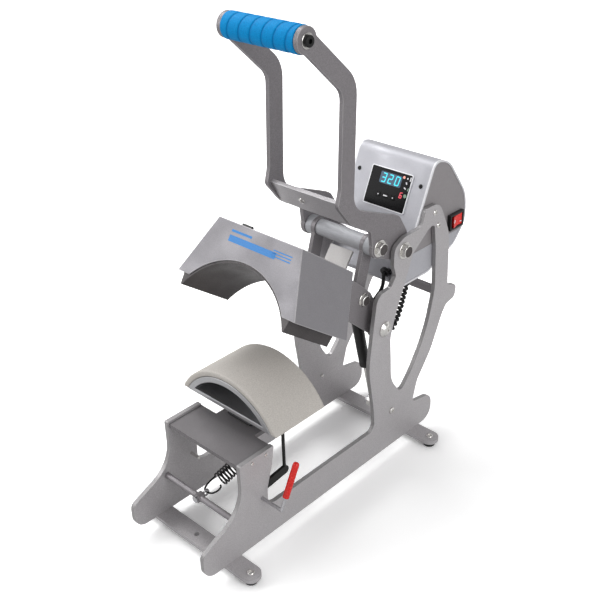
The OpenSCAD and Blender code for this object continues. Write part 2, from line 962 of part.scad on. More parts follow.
// Heads and stubs of the toggle bolts, carried by the handle arms
module toggle_bolts() {
    color("#dedcd8")
        placed()
            both_sides() {
                x_rod(toggle, shaft_r, arm_in, arm_out);
                pivot_head(toggle, arm_out);
            }
}

// ---- Toggle link ----

module link_arms() {
    color("#8a8688")
        placed()
            both_sides()
                difference() {
                    union() {
                        x_link(toggle, link_pivot, link_w, link_x, link_out);
                        x_rod(toggle, collar_r, link_x, link_out);
                    }
                    x_rod(toggle, shaft_r, link_x - 1, link_out + 1);
                    x_rod(link_pivot, pin_r + run, link_x - 1, link_out + 1);
                }
}

module toggle_tube() {
    color("#b4b3b6")
        placed() {
            x_rod(toggle, tube_r, -link_x, link_x);
            both_sides()
                x_rod(toggle, shaft_r, link_x, collar_end);
        }
}

module toggle_collars() {
    color("#a6a4a7")
        placed()
            both_sides()
                difference() {
                    x_rod(toggle, collar_r, link_out, collar_end);
                    x_rod(toggle, shaft_r, link_out - 1, collar_end + 1);
                }
}

// ---- Head, drawn closed ----

head_arm_top = cover_z + cover_h - 8;
head_arm_low = arc_z + heater_r + heater_t + 4;
head_arm_outline = [
    [head_pivot_y, head_pivot_z - 14, 10],
    [head_pivot_y + 14, head_pivot_z, 12],
    [head_pivot_y + 4, head_pivot_z + 16, 10],
    [link_pivot_closed[0] + 10, link_pivot_closed[1] + 12, 10],
    [link_pivot_closed[0] - 12, link_pivot_closed[1] + 15, 10],
    [cover_y + cover_d + 12, head_arm_top, 20],
    [cover_y + 12, head_arm_top, 4],
    [cover_y + 12, head_arm_low, 4],
    [cover_y + cover_d - 5, head_arm_low, 15],
    [link_pivot_closed[0] - 18, link_pivot_closed[1] - 32, 30]
];
cross_bar_front = 25;
cross_bar_back = 72;
cross_bar_places = [cover_y + cross_bar_front, cover_y + cross_bar_back];
cross_bar_w = 14;
cross_bar_t = 6;
cross_bar_rise = 10;
cross_bar_z = arc_z + heater_r + heater_t + cross_bar_rise;
stud_x = 28;
stud_r = 3;
stud_depth = 4;
stud_head_rim = 2.5;
stud_head_h = 4;

module head_arms() {
    color("#7d797b")
        placed()
            swung_open()
                both_sides()
                    difference() {
                        union() {
                            side_slab(head_arm_outline, head_arm_x, head_arm_out);
                            x_rod(head_pivot, 13, head_arm_x, head_arm_out);
                            x_rod(link_pivot_closed, 12, head_arm_x, head_arm_out);
                        }
                        x_rod(head_pivot, shaft_r + run, head_arm_x - 1, head_arm_out + 1);
                        x_rod(link_pivot_closed, pin_r, head_arm_x - 1, head_arm_out + 1);
                    }
}

// Sleeves beside the head arms on the head pivot, and washers on the link pins
module head_spacers() {
    color("#a8a5a8")
        placed()
            swung_open()
                both_sides() {
                    difference() {
                        x_rod(head_pivot, 10, head_arm_out, half_in - slip);
                        x_rod(head_pivot, shaft_r + run, head_arm_out - 1, half_in + 1);
                    }
                    difference() {
                        x_rod(link_pivot_closed, 9, link_out + slip, head_arm_x);
                        x_rod(link_pivot_closed, pin_r, link_out, head_arm_x + 1);
                    }
                }
}

link_hex_af = hex_af - 2;
link_hex_x = head_arm_out + washer_t;
module link_pins() {
    color("#dedcd8")
        placed()
            swung_open()
                both_sides() {
                    x_rod(link_pivot_closed, pin_r, link_x - slip, head_arm_out);
                    x_rod(link_pivot_closed, 9, head_arm_out, head_arm_out + washer_t);
                    x_hex(link_pivot_closed, link_hex_af, link_hex_x, link_hex_x + 4.5);
                }
}

module head_cross_bars() {
    color("#8f8c90")
        placed()
            swung_open()
                difference() {
                    for (y = cross_bar_places)
                        translate([-head_arm_x, y - cross_bar_w / 2, cross_bar_z])
                            cube([2 * head_arm_x, cross_bar_w, cross_bar_t]);
                    for (y = cross_bar_places, side = [-1, 1])
                        translate([side * stud_x, y, cross_bar_z - 1])
                            cylinder(r = stud_r, h = cross_bar_t + 2);
                }
}

// Studs that hang the heater from the cross bars
module heater_studs() {
    stud_low = arc_z + sqrt(pow(heater_r + heater_t, 2) - pow(stud_x, 2)) - stud_depth;
    color("#c9c6c3")
        placed()
            swung_open()
                for (y = cross_bar_places, side = [-1, 1])
                    translate([side * stud_x, y, 0]) {
                        translate([0, 0, stud_low])
                            cylinder(r = stud_r, h = cross_bar_z + cross_bar_t + 1 - stud_low);
                        translate([0, 0, cross_bar_z + cross_bar_t])
                            cylinder(r = stud_r + stud_head_rim, h = stud_head_h);
                    }
}

module heater_plate() {
    heater_y = cover_y + 2;
    r_out = heater_r + heater_t;
    drop = cover_z - arc_z;
    lip_top = sqrt(pow(r_out, 2) - pow(drop, 2));
    lip_tip = sqrt(pow(heater_r, 2) - pow(drop - lip_h, 2)) + 2;
    lips = [[-lip_top, 0], [-lip_tip, -lip_h], [lip_tip, -lip_h], [lip_top, 0]];
    stud_low = arc_z + sqrt(pow(r_out, 2) - pow(stud_x, 2)) - stud_depth;
    color("#5a5556")
        placed()
            swung_open()
                difference() {
                    union() {
                        intersection() {
                            translate([0, heater_y, arc_z])
                                rotate([-90, 0, 0])
                                    cylinder(r = r_out, h = heater_d, $fn = 128);
                            translate([-r_out - 1, heater_y - 1, cover_z])
                                cube([2 * r_out + 2, heater_d + 2, r_out]);
                        }
                        translate([0, heater_y + heater_d, cover_z])
                            rotate([90, 0, 0])
                                linear_extrude(heater_d)
                                    polygon(lips);
                    }
                    translate([0, heater_y - 1, arc_z])
                        rotate([-90, 0, 0])
                            cylinder(r = heater_r, h = heater_d + 2, $fn = 128);
                    for (y = cross_bar_places, side = [-1, 1])
                        translate([side * stud_x, y, stud_low])
                            cylinder(r = stud_r, h = 20);
                }
}

blanket_t = 3;
module heater_blanket() {
    r_in = heater_r + heater_t;
    color("#c9c2b0")
        placed()
            swung_open()
                difference() {
                    intersection() {
                        translate([0, cover_y + 4, arc_z])
                            rotate([-90, 0, 0])
                                difference() {
                                    cylinder(r = r_in + blanket_t, h = heater_d - 4, $fn = 128);
                                    translate([0, 0, -1])
                                        cylinder(r = r_in, h = heater_d, $fn = 128);
                                }
                        translate([-r_in - 9, cover_y, cover_z + 18])
                            cube([2 * r_in + 18, heater_d + 9, r_in]);
                    }
                    for (y = cross_bar_places, side = [-1, 1])
                        translate([side * stud_x, y, cover_z])
                            cylinder(r = stud_r, h = 90);
                    translate([-11, platen_y - 12, cover_z])
                        cube([22, 24, 90]);
                }
}

module thermal_cutout() {
    seat = arc_z + heater_r + heater_t - 1;
    color("#2b2b2d")
        placed()
            swung_open()
                difference() {
                    translate([-10, platen_y - 11, seat - 4])
                        cube([20, 22, 12]);
                    translate([0, platen_y - 20, arc_z])
                        rotate([-90, 0, 0])
                            cylinder(r = heater_r + heater_t, h = 40, $fn = 128);
                }
}

// A cover section at a given inset from the outer faces
slope = (cover_low_w - cover_top_w) / 2 / cover_h;
function cover_section(inset) =
    let (side = inset * sqrt(1 + slope * slope))
    [
        [-cover_low_w / 2 + side, 0],
        [cover_low_w / 2 - side, 0],
        [cover_low_w / 2 - side - slope * (cover_h - inset), cover_h - inset],
        [-cover_low_w / 2 + side + slope * (cover_h - inset), cover_h - inset]
    ];

module cover_prism(inset, y, depth, low) {
    translate([0, y + depth, cover_z])
        rotate([90, 0, 0])
            linear_extrude(depth)
                polygon([for (p = cover_section(inset)) [p[0], p[1] == 0 ? low : p[1]]]);
}

module head_cover() {
    color("#a9a7ac")
        placed()
            swung_open()
                difference() {
                    cover_prism(0, cover_y, cover_d, 0);
                    cover_prism(sheet_t, cover_y + sheet_t, cover_d, -1);
                    translate([0, cover_y - 1, arc_z])
                        rotate([-90, 0, 0])
                            cylinder(r = arch_r, h = sheet_t + 2, $fn = 128);
                }
}

// Strips that seat the cover on the head arms, and a bent plate that reaches back from
// them and stands just under the raised toggle tube
bracket_t = 3;
bracket_x = [-19.5, 18.5];
bracket_gap = 3.7;
strip_d = 18;
bracket_z = cover_z + cover_h - sheet_t;
module cover_bracket() {
    bracket_w = bracket_x[1] - bracket_x[0];
    upright_at = toggle_closed[0] + tube_r - 2;
    upright_h = toggle_closed[1] - tube_r - bracket_gap - bracket_z + bracket_t;
    color("#c4c2c0")
        placed()
            swung_open() {
                for (y = [cover_y + 20, cover_y + cover_d - strip_d])
                    translate([-head_arm_out, y, head_arm_top])
                        cube([2 * head_arm_out, strip_d, bracket_z - head_arm_top]);
                translate([bracket_x[0], cover_y + cover_d, bracket_z - bracket_t])
                    cube([bracket_w, upright_at - cover_y - cover_d, bracket_t]);
                translate([bracket_x[0], upright_at, bracket_z - bracket_t])
                    cube([bracket_w, bracket_t, upright_h]);
            }
}

// The sheathed lead that runs from the pivot axis to the heater, under the link pin
heater_lead_route = [
    [swivel_x + slip, head_pivot_y, head_pivot_z],
    [swivel_x + 1.5, head_pivot_y - 0.3, head_pivot_z],
    [swivel_x + 3, head_pivot_y - 2.5, head_pivot_z + 0.5],
    [44.4, head_pivot_y - 8, head_pivot_z + 2],
    [44.4, 245, 206],
    [44.4, 220, 206],
    [43, 195, 207],
    [40, 170, 214],
    [38, 150, 219],
    [36, 136, 217]
];

module heater_lead() {
    color("#0c0c0c")
        placed()
            swung_open()
                swept_tube(smooth_path(heater_lead_route, 2), lead_r, 8);
}

// ---- Gas spring ----

gas_x0 = link_x - 2 * slip - gas_eye_w;
gas_axis = unit(link_pivot - tie);
gas_lean = atan2(-gas_axis[0], gas_axis[1]);
gas_span = norm(link_pivot - tie);

module along_gas() {
    translate([gas_x0 + gas_eye_w / 2, tie_y, tie_z])
        rotate([gas_lean, 0, 0])
            children();
}

module gas_rod() {
    color("#c9c6c3")
        placed() {
            difference() {
                x_rod(tie, tie_r + 3.5, gas_x0, gas_x0 + gas_eye_w);
                x_rod(tie, tie_r + run, gas_x0 - 1, gas_x0 + gas_eye_w + 1);
            }
            along_gas()
                translate([0, 0, tie_r + 2])
                    cylinder(r = gas_rod_r, h = gas_span - 14 - 30 - tie_r);
        }
}

module gas_cylinder() {
    color("#222122")
        placed() {
            along_gas()
                difference() {
                    union() {
                        translate([0, 0, gas_span - 13 - gas_len])
                            cylinder(r = gas_r, h = gas_len);
                        translate([0, 0, gas_span - 13.5])
                            cylinder(r = 3.5, h = 8);
                    }
                    translate([0, 0, gas_span - 14 - gas_len])
                        cylinder(r = gas_rod_r + run, h = gas_len - 8);
                }
            x_rod(link_pivot, 8, gas_x0, gas_x0 + gas_eye_w);
        }
}

// ---- Control housing ----

panel_top = (case_top - case_z) / cos(panel_lean);
case_corner = [case_y, case_z] + panel_up * panel_top;
case_outline = [
    [case_y, case_z, 6],
    [case_corner[0], case_corner[1], 15],
    [case_rear - 44, case_top - 9, 42],
    [case_rear, case_top - 70, 60],
    [case_rear, case_z + 48, 34],
    [case_rear - 24, case_z + 22, 28],
    [case_y + 64, case_z, 22]
];

// The housing's outline, moved inwards by a wall
function inset_outline(corners, d) =
    let (p = rounded(corners), n = len(p))
    [for (i = [0:n - 1])
        let (
            a = p[(i + n - 1) % n],
            b = p[i],
            c = p[(i + 1) % n],
            in_ab = [unit(b - a)[1], -unit(b - a)[0]],
            in_bc = [unit(c - b)[1], -unit(c - b)[0]],
            bisect = unit(in_ab + in_bc)
        )
        b + bisect * d / (bisect * in_ab)];

module case_slab(points, x0, x1) {
    translate([x0, 0, 0])
        rotate([90, 0, 90])
            linear_extrude(x1 - x0)
                polygon(points);
}

// Draws in the control panel's own plane: X across, Y up the panel, Z out of it
module on_panel(p = panel_mid) {
    translate([0, p[0], p[1]])
        rotate([90 - panel_lean, 0, 0])
            children();
}

panel_screw = [52, 15.5];
// The display stands a little right of the housing's middle
display_x = 3.5;
front_gland = [41, 17];
under_gland = [50, case_y + 34];
rocker_at = [case_rear - 26.4, handle_pivot_z + 0.8];
inlet_at = [case_rear - 22, handle_pivot_z];

module housing_shell() {
    color("#c9c9cf")
        placed()
            difference() {
                case_slab(rounded(case_outline), -case_end_x, case_end_x);
                case_slab(inset_outline(case_outline, case_t), -case_end_x - 1, case_end_x + 1);
                on_panel()
                    translate([display_x - display_w / 2 + 1, -display_h / 2 + 1, -case_t - 3])
                        cube([display_w - 2, display_h - 2, case_t + 6]);
                on_panel()
                    both_sides()
                        translate([panel_screw[0], panel_screw[1], -case_t - 3])
                            cylinder(r = 2, h = case_t + 6);
                on_panel([case_y, case_z])
                    translate([front_gland[0], front_gland[1], -case_t - 3])
                        cylinder(r = 5, h = case_t + 6);
                translate([under_gland[0], under_gland[1], case_z - 1])
                    cylinder(r = 5.5, h = case_t + 2);
            }
}

module housing_end(at, cut_l, cut_h) {
    difference() {
        case_slab(rounded(case_outline), case_end_x, half_in);
        translate([case_end_x - 1, at[0] - cut_l / 2, at[1] - cut_h / 2])
            cube([case_t + 2, cut_l, cut_h]);
        for (p = case_screw_places)
            x_rod(p, small_screw_r, case_end_x - 1, half_in + 1);
    }
}

module housing_ends() {
    color("#8f8c90")
        placed() {
            housing_end(rocker_at, rocker_l - 2, rocker_h - 2);
            mirror([1, 0, 0])
                housing_end(inlet_at, 27, 20);
        }
}

module housing_screws() {
    color("#c9c6c3")
        placed() {
            both_sides()
                for (p = case_screw_places) {
                    x_rod(p, small_screw_r, case_end_x, half_out);
                    x_rod(p, small_screw_r + 1.5, half_out, half_out + 2);
                }
            on_panel()
                both_sides()
                    translate([panel_screw[0], panel_screw[1], -case_t - 1]) {
                        cylinder(r = 2, h = case_t + 1);
                        translate([0, 0, case_t + 1])
                            cylinder(r = 3, h = 1);
                    }
        }
}

button_places = [[-9.2, -10], [2.75, -9.7], [15.2, -9.9]];
button_size = [7, 5];
key_hole = button_size + [0.5, 0.5];
key_floor = button_travel + 1.4;
body_inset = 1.5;
body_depth = 8;
module display_module() {
    color("#101012")
        placed()
            on_panel()
                difference() {
                    translate([display_x - display_w / 2, -display_h / 2, 0]) {
                        cube([display_w, display_h, display_t]);
                        translate([body_inset, body_inset, -case_t - body_depth])
                            cube([display_w - 2 * body_inset, display_h - 2 * body_inset,
                                case_t + body_depth]);
                    }
                    for (p = button_places)
                        translate([p[0] - key_hole[0] / 2, p[1] - key_hole[1] / 2, -key_floor])
                            cube([key_hole[0], key_hole[1], display_t + key_floor + 1]);
                }
}

// A key under the digits, flush with the bezel when it is pressed
module key(i) {
    p = button_places[i];
    key_back = key_floor - 0.1;
    color("#1d1d20")
        placed()
            on_panel()
                translate([p[0] - button_size[0] / 2, p[1] - button_size[1] / 2, button_travel - key_back])
                    cube([button_size[0], button_size[1], display_t + key_back]);
}

module key_left() {
    key(0);
}

module key_middle() {
    key(1);
}

module key_right() {
    key(2);
}

board_t = 1.6;
board_side = 10;
board_rim = 4;
transformer_at = [-30, -20];
transformer_size = [26, 30, 18];
relay_at = [6, -22];
relay_size = [24, 16, 14];
board_post_x = 39.7;
board_post_r = 3;
module control_board() {
    board_z = -case_t - body_depth - board_t;
    color("#1f5a36")
        placed()
            on_panel() {
                translate([-display_w / 2 - board_side, -display_h / 2 - board_rim, board_z])
                    cube([display_w + 2 * board_side, display_h + 2 * board_rim, board_t]);
                translate([transformer_at[0], transformer_at[1], board_z - transformer_size[2]])
                    cube(transformer_size);
                translate([relay_at[0], relay_at[1], board_z - relay_size[2]])
                    cube(relay_size);
                both_sides()
                    translate([board_post_x, 4, -case_t - body_depth])
                        cylinder(r = board_post_r, h = body_depth);
            }
}

rocker_pin_r = 1.2;
bezel_t = 5;
rocker_x = half_in + bezel_t - 7;
module rocker_bezel() {
    body_l = rocker_l - 3;
    body_h = rocker_h - 3;
    color("#0c0c0d")
        placed()
            difference() {
                union() {
                    translate([half_in, rocker_at[0] - rocker_l / 2, rocker_at[1] - rocker_h / 2])
                        cube([bezel_t, rocker_l, rocker_h]);
                    translate([half_in - 22, rocker_at[0] - body_l / 2, rocker_at[1] - body_h / 2])
                        cube([22, body_l, body_h]);
                }
                translate([rocker_x - 7, rocker_at[0] - rocker_l / 2 + 3, rocker_at[1] - rocker_h / 2 + 3])
                    cube([20, rocker_l - 6, rocker_h - 6]);
                translate([rocker_x, rocker_at[0], rocker_at[1] - rocker_h / 2 + 2.2])
                    cylinder(r = rocker_pin_r + run, h = rocker_h - 4.4, $fn = 24);
            }
}

rocker_tilt = 7;
module rocker() {
    tip = rocker_l / 2 - 4.6;
    color("#e2231a")
        placed()
            translate([rocker_x, rocker_at[0], rocker_at[1]])
                rotate([0, 0, rocker_tilt]) {
                    translate([0, 0, 3.5 - rocker_h / 2])
                        linear_extrude(rocker_h - 7)
                            polygon([[-2, -6], [-2, 6], [7.5, tip], [6, 0], [7.5, -tip]]);
                    translate([0, 0, 2.4 - rocker_h / 2])
                        cylinder(r = rocker_pin_r, h = rocker_h - 4.8, $fn = 24);
                }
}

module power_inlet() {
    color("#141414")
        placed()
            mirror([1, 0, 0])
                difference() {
                    union() {
                        translate([half_in, inlet_at[0] - 15, inlet_at[1] - 11.5])
                            cube([2, 30, 23]);
                        translate([half_in - 20, inlet_at[0] - 13.5, inlet_at[1] - 10])
                            cube([20, 27, 20]);
                    }
                    translate([half_in - 14, inlet_at[0] - 11.5, inlet_at[1] - 8])
                        cube([20, 23, 16]);
                }
}

// ---- Leads between housing and head ----

// The front gland ends in a collar that hangs forwards, and the lead leaves the collar's face
gland_neck = 7.5;
gland_tilt = 44;
gland_collar_r = 7;
gland_collar_t = 4;
collar_face = panel_out * cos(gland_tilt) - panel_up * sin(gland_tilt);
gland_at = [case_y, case_z] + panel_up * front_gland[1] + panel_out * gland_neck
    + collar_face * gland_collar_t / 2;
gland_tip = [front_gland[0], gland_at[0], gland_at[1]];
sleeve_r = 4.5;
module lead_holders() {
    color("#101010")
        placed() {
            on_panel([case_y, case_z])
                translate([front_gland[0], front_gland[1], 0]) {
                    translate([0, 0, -case_t])
                        cylinder(r = 5, h = case_t + gland_neck);
                    translate([0, 0, gland_neck])
                        rotate([gland_tilt, 0, 0])
                            cylinder(r = gland_collar_r, h = gland_collar_t, center = true);
                }
            translate([under_gland[0], under_gland[1], case_z]) {
                cylinder(r = 5.5, h = case_t);
                translate([0, 0, -4])
                    cylinder(r = 7, h = 4);
            }
            x_rod(head_pivot, sleeve_r, swivel_x - 10, swivel_x);
        }
}

// Hand-chosen points of the two leads, in [x, y, z] before the part is stood on its feet
straight_route = [
    gland_tip,
    gland_tip + [0, -1.4, -1],
    [41, 298.6, 254],
    [41, 297.2, 244.5],
    [40, 294, 237],
    [39, 289, 232],
    [37.5, 283, 225],
    [36.2, 279, 215],
    [35.5, 272.6, 201.5]
];
coiled_route = [
    [50, 336, case_z - 4],
    [50, 334.5, 230],
    [50, 329, 216],
    [49.5, 325, 203],
    [49, 319, 190],
    [47.5, 310.5, 176],
    [43.5, 298, 169],
    [38.5, 285.5, 172],
    [36, 276.5, 182],
    [35.5, 270.5, 193.5]
];

module straight_lead() {
    color("#0c0c0c")
        placed()
            swept_tube(smooth_path(straight_route, 3), lead_r, 8);
}

module coiled_lead() {
    color("#0c0c0c")
        placed()
            swept_tube(smooth_path(coiled_route, 3), coil_r, 10);
}

side_plate_left();
side_plate_right();
front_foot_bar();
rear_foot_bar();
rubber_feet();
foot_bolts();
shelf_plate();
frame_screws();
spring_rod();
spring_eye();
rear_tie_bar();
lower_tie_rod();
handle_pivot_shaft();
handle_pivot_spacers();
head_pivot_pins();
pivot_bolts();
platen_post();
lower_platen();
platen_pad();
hold_down_rod();
hold_down_yoke();
hold_down_grip();
hold_down_spring();
handle_arm_left();
handle_arm_right();
handle_cross_plate();
grip_tube();
grip_wrap();
handle_screws();
toggle_bolts();
link_arms();
toggle_tube();
toggle_collars();
head_arms();
head_spacers();
link_pins();
head_cross_bars();
heater_studs();
heater_plate();
heater_blanket();
thermal_cutout();
head_cover();
cover_bracket();
heater_lead();
gas_rod();
gas_cylinder();
housing_shell();
housing_ends();
housing_screws();
display_module();
key_left();
key_middle();
key_right();
control_board();
rocker_bezel();
rocker();
power_inlet();
lead_holders();
straight_lead();
coiled_lead();
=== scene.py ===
import json
from math import atan2, ceil, cos, degrees, pi, radians, sin, tan

import bmesh
import bpy
from mathutils import Matrix, Vector, geometry


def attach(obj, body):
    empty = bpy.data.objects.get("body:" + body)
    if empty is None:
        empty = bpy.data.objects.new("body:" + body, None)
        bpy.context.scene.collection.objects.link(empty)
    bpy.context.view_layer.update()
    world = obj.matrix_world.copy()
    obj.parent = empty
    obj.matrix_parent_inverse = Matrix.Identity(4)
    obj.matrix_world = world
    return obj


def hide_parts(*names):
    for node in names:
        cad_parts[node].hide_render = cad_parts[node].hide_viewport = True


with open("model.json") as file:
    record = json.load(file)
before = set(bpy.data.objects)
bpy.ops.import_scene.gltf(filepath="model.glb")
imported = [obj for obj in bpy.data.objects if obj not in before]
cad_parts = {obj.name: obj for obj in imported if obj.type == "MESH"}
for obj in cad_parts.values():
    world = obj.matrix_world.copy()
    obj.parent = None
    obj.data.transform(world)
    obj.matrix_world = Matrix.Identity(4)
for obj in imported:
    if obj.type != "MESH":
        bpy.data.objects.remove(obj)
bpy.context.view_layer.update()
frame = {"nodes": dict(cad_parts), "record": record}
nodes = frame["nodes"]
bodyOf = {name: body for body, names in frame["record"]["behaviour"]["bodies"].items() for name in names}
mm = 0.001

# the frame's own places, in mm: y back from the front column's face, z up from the side plates' lower edge
midY = 191.0           # the part's middle
lift = 14.0            # feet and flat bar under the side plates
plateIn = 63.5         # inner and outer face of the side plates
plateOut = 69.5
armOut = 61.5          # outer face of the handle arms
handlePivot = (305.0, 302.0)
headPivot = (268.0, 201.0)
toggle = (264.0, 318.0)
linkPivot = (243.0, 249.75)
tie = (286.0, 60.0)    # gas spring's stud
headOpen = 36.5        # degrees from closed to the open rest


def place(x, y, z):
    return Vector((x * mm, (y - midY) * mm, (z + lift) * mm))


def openHead(x, y, z):
    # a point of the closed head, swung open about the head pivot
    a = radians(-headOpen)
    dy, dz = y - headPivot[0], z - headPivot[1]
    return (x, headPivot[0] + dy * cos(a) - dz * sin(a), headPivot[1] + dy * sin(a) + dz * cos(a))


# camera, floor and light; distances in m, floor shades are multiples of its colour
view = {"azimuth": 44.508, "elevation": 29.372, "roll": -1.880,
        "place": (0.7347, -0.7572, 0.8602), "lens": 56.64}
studio = {"floor": "#F4F4F4", "reach": 6.0, "floorBounce": 0.54, "floorGloss": 0.30, "ambient": 0.52,
          "nearFrom": 0.12, "nearTo": 0.48, "seenNear": 1.32, "seenFar": 1.76,
          "farFrom": 0.7, "farTo": 1.6, "floorLift": 0.04, "farLift": 0.5,
          "poolFrom": 0.42, "poolTo": 1.05, "poolNear": 0.62, "poolFar": 0.50,
          "highFrom": 0.12, "highTo": 0.42, "ceiling": 0.34, "aimAt": (0, 0, 0.28),
          "lamps": {"frontLeft": ((-1.25, -1.30, 1.15), 1.3, 13.0), "overhead": ((-1.30, 0.10, 1.75), 1.2, 20.0),
                    "rightFill": ((1.90, -0.20, 1.15), 1.5, 17.0)}}


def linear(hexCode):
    # sRGB hex to Blender's linear colour
    parts = [int(hexCode[i:i + 2], 16) / 255 for i in (1, 3, 5)]
    return tuple(c / 12.92 if c <= 0.04045 else ((c + 0.055) / 1.055) ** 2.4 for c in parts) + (1.0,)


def addNode(tree, kind, inputs=None, **settings):
    # one shader or geometry node, with its settings, values and links
    node = tree.nodes.new(kind)
    for key, value in settings.items():
        setattr(node, key, value)
    for key, value in (inputs or {}).items():
        if isinstance(value, bpy.types.NodeSocket):
            tree.links.new(value, node.inputs[key])
        else:
            node.inputs[key].default_value = value
    return node


def mathNode(tree, operation, first, second=0.0):
    return addNode(tree, "ShaderNodeMath", {0: first, 1: second}, operation=operation).outputs[0]


def rangeNode(tree, value, fromLow, fromHigh, toLow, toHigh):
    # a value carried from one range to the other and held at both ends
    return addNode(tree, "ShaderNodeMapRange", {"Value": value, "From Min": fromLow, "From Max": fromHigh,
                                                "To Min": toLow, "To Max": toHigh}).outputs[0]


def mixValues(tree, factor, first, second):
    return addNode(tree, "ShaderNodeMix", {0: factor, 2: first, 3: second}, data_type="FLOAT").outputs[0]


def rayKinds(tree):
    # what the camera sees straight, and what it sees in gloss or through glass
    path = addNode(tree, "ShaderNodeLightPath").outputs
    return path["Is Camera Ray"], mathNode(tree, "MAXIMUM", path["Is Glossy Ray"], path["Is Transmission Ray"])


def linkPiece(name, data):
    piece = bpy.data.objects.new(name, data)
    bpy.context.scene.collection.objects.link(piece)
    return piece


def setCamera():
    data = bpy.data.cameras.new("mainView")
    data.lens = view["lens"]
    data.sensor_width = 36.0
    data.clip_start = 0.05
    camera = linkPiece("mainView", data)
    turn = (Matrix.Rotation(radians(view["azimuth"]), 4, "Z")
            @ Matrix.Rotation(radians(90 - view["elevation"]), 4, "X")
            @ Matrix.Rotation(radians(view["roll"]), 4, "Z"))
    camera.matrix_world = Matrix.Translation(view["place"]) @ turn
    bpy.context.scene.camera = camera


def areaLight(name, at, size, power):
    data = bpy.data.lights.new(name, "AREA")
    data.shape = "DISK"
    data.size = size
    data.energy = power
    lamp = linkPiece(name, data)
    lamp.location = at
    lamp.rotation_euler = (Vector(studio["aimAt"]) - Vector(at)).to_track_quat("-Z", "Y").to_euler()


def setWorld():
    # an even soft room; seen directly it is white, in gloss it is white low down and greyer overhead
    world = bpy.data.worlds.new("studio")
    bpy.context.scene.world = world
    world.use_nodes = True
    tree = world.node_tree
    tree.nodes.clear()
    seen, mirror = rayKinds(tree)
    heading = addNode(tree, "ShaderNodeSeparateXYZ", {0: addNode(tree, "ShaderNodeTexCoord").outputs["Generated"]})
    overhead = rangeNode(tree, heading.outputs[2], studio["highFrom"], studio["highTo"], 1.0, studio["ceiling"])
    level = mixValues(tree, mirror, studio["ambient"], overhead)
    level = mixValues(tree, seen, level, 1.0)
    room = addNode(tree, "ShaderNodeBackground", {"Color": (1, 1, 1, 1), "Strength": level})
    addNode(tree, "ShaderNodeOutputWorld", {"Surface": room.outputs[0]})


def setFloor():
    # pale paper: lit areas look plain white and keep a soft shadow; gloss sees the light pool fade outwards
    reach = studio["reach"]
    mesh = bpy.data.meshes.new("paleFloor")
    mesh.from_pydata([(-reach, -reach, 0), (reach, -reach, 0), (reach, reach, 0), (-reach, reach, 0)], [],
                     [(0, 1, 2, 3)])
    floor = linkPiece("paleFloor", mesh)
    material = bpy.data.materials.new("paleFloor")
    material.use_nodes = True
    tree = material.node_tree
    tree.nodes.clear()
    seen, mirror = rayKinds(tree)
    away = addNode(tree, "ShaderNodeVectorMath", {0: addNode(tree, "ShaderNodeTexCoord").outputs["Object"]},
                   operation="LENGTH").outputs["Value"]
    pool = rangeNode(tree, away, studio["poolFrom"], studio["poolTo"], studio["poolNear"], studio["poolFar"])
    bounce = mixValues(tree, mirror, studio["floorBounce"], pool)
    # right under the machine the paper's seen colour is turned down, a painted shadow
    shown = rangeNode(tree, away, studio["nearFrom"], studio["nearTo"], studio["seenNear"], studio["seenFar"])
    level = mixValues(tree, seen, bounce, shown)
    tint = addNode(tree, "ShaderNodeVectorMath", {0: linear(studio["floor"])[:3], 3: level}, operation="SCALE")
    paper = addNode(tree, "ShaderNodeBsdfDiffuse", {"Color": tint.outputs[0]})
    inGloss = mathNode(tree, "MULTIPLY", mathNode(tree, "MULTIPLY", mirror, pool), studio["floorGloss"])
    # the lamps don't reach the far floor, so it is lifted to white by itself
    faint = rangeNode(tree, away, studio["farFrom"], studio["farTo"], studio["floorLift"], studio["farLift"])
    faint = mixValues(tree, seen, inGloss, faint)
    glow = addNode(tree, "ShaderNodeEmission", {"Strength": faint})
    both = addNode(tree, "ShaderNodeAddShader", {0: paper.outputs[0], 1: glow.outputs[0]})
    addNode(tree, "ShaderNodeOutputMaterial", {"Surface": both.outputs[0]})
    mesh.materials.append(material)


setCamera()
setWorld()
setFloor()
for lampName, (lampAt, lampSize, lampPower) in studio["lamps"].items():
    areaLight(lampName, lampAt, lampSize, lampPower)
bpy.context.scene.view_settings.view_transform = "Standard"
print("camera and studio set")


# finishes
def newMaterial(name, roughness, metallic=0.0):
    material = bpy.data.materials.new(name)
    material.use_nodes = True
    shader = material.node_tree.nodes["Principled BSDF"]
    shader.inputs["Roughness"].default_value = roughness
    shader.inputs["Metallic"].default_value = metallic
    return material, material.node_tree, shader


def grain(tree, size, detail=2.0, stretch=(1, 1, 1)):
    # noise whose lumps are about size mm across, on the piece's own coordinates
    coords = addNode(tree, "ShaderNodeTexCoord")
    spread = addNode(tree, "ShaderNodeMapping", {"Vector": coords.outputs["Object"], "Scale": stretch})
    return addNode(tree, "ShaderNodeTexNoise", {"Vector": spread.outputs[0], "Scale": 1 / (size * mm),
                                               "Detail": detail}).outputs["Fac"]


def mixColours(tree, factor, first, second):
    mix = addNode(tree, "ShaderNodeMix", {0: factor}, data_type="RGBA")
    for slot, colour in ((6, first), (7, second)):
        if isinstance(colour, str):
            mix.inputs[slot].default_value = linear(colour)
        else:
            tree.links.new(colour, mix.inputs[slot])
    return mix.outputs[2]


def spreadOver(tree, value, low, high):
    # noise sits mostly between 0.35 and 0.65, so that band fills the range
    return rangeNode(tree, value, 0.35, 0.65, low, high)


def addBump(tree, shader, height, depth, strength):
    bump = addNode(tree, "ShaderNodeBump", {"Height": height, "Distance": depth * mm, "Strength": strength})
    tree.links.new(bump.outputs[0], shader.inputs["Normal"])


def setSpread(tree, shader, noise, dark, light):
    # the noise carries the base colour from dark to light
    tree.links.new(mixColours(tree, spreadOver(tree, noise, 0.0, 1.0), dark, light), shader.inputs["Base Color"])


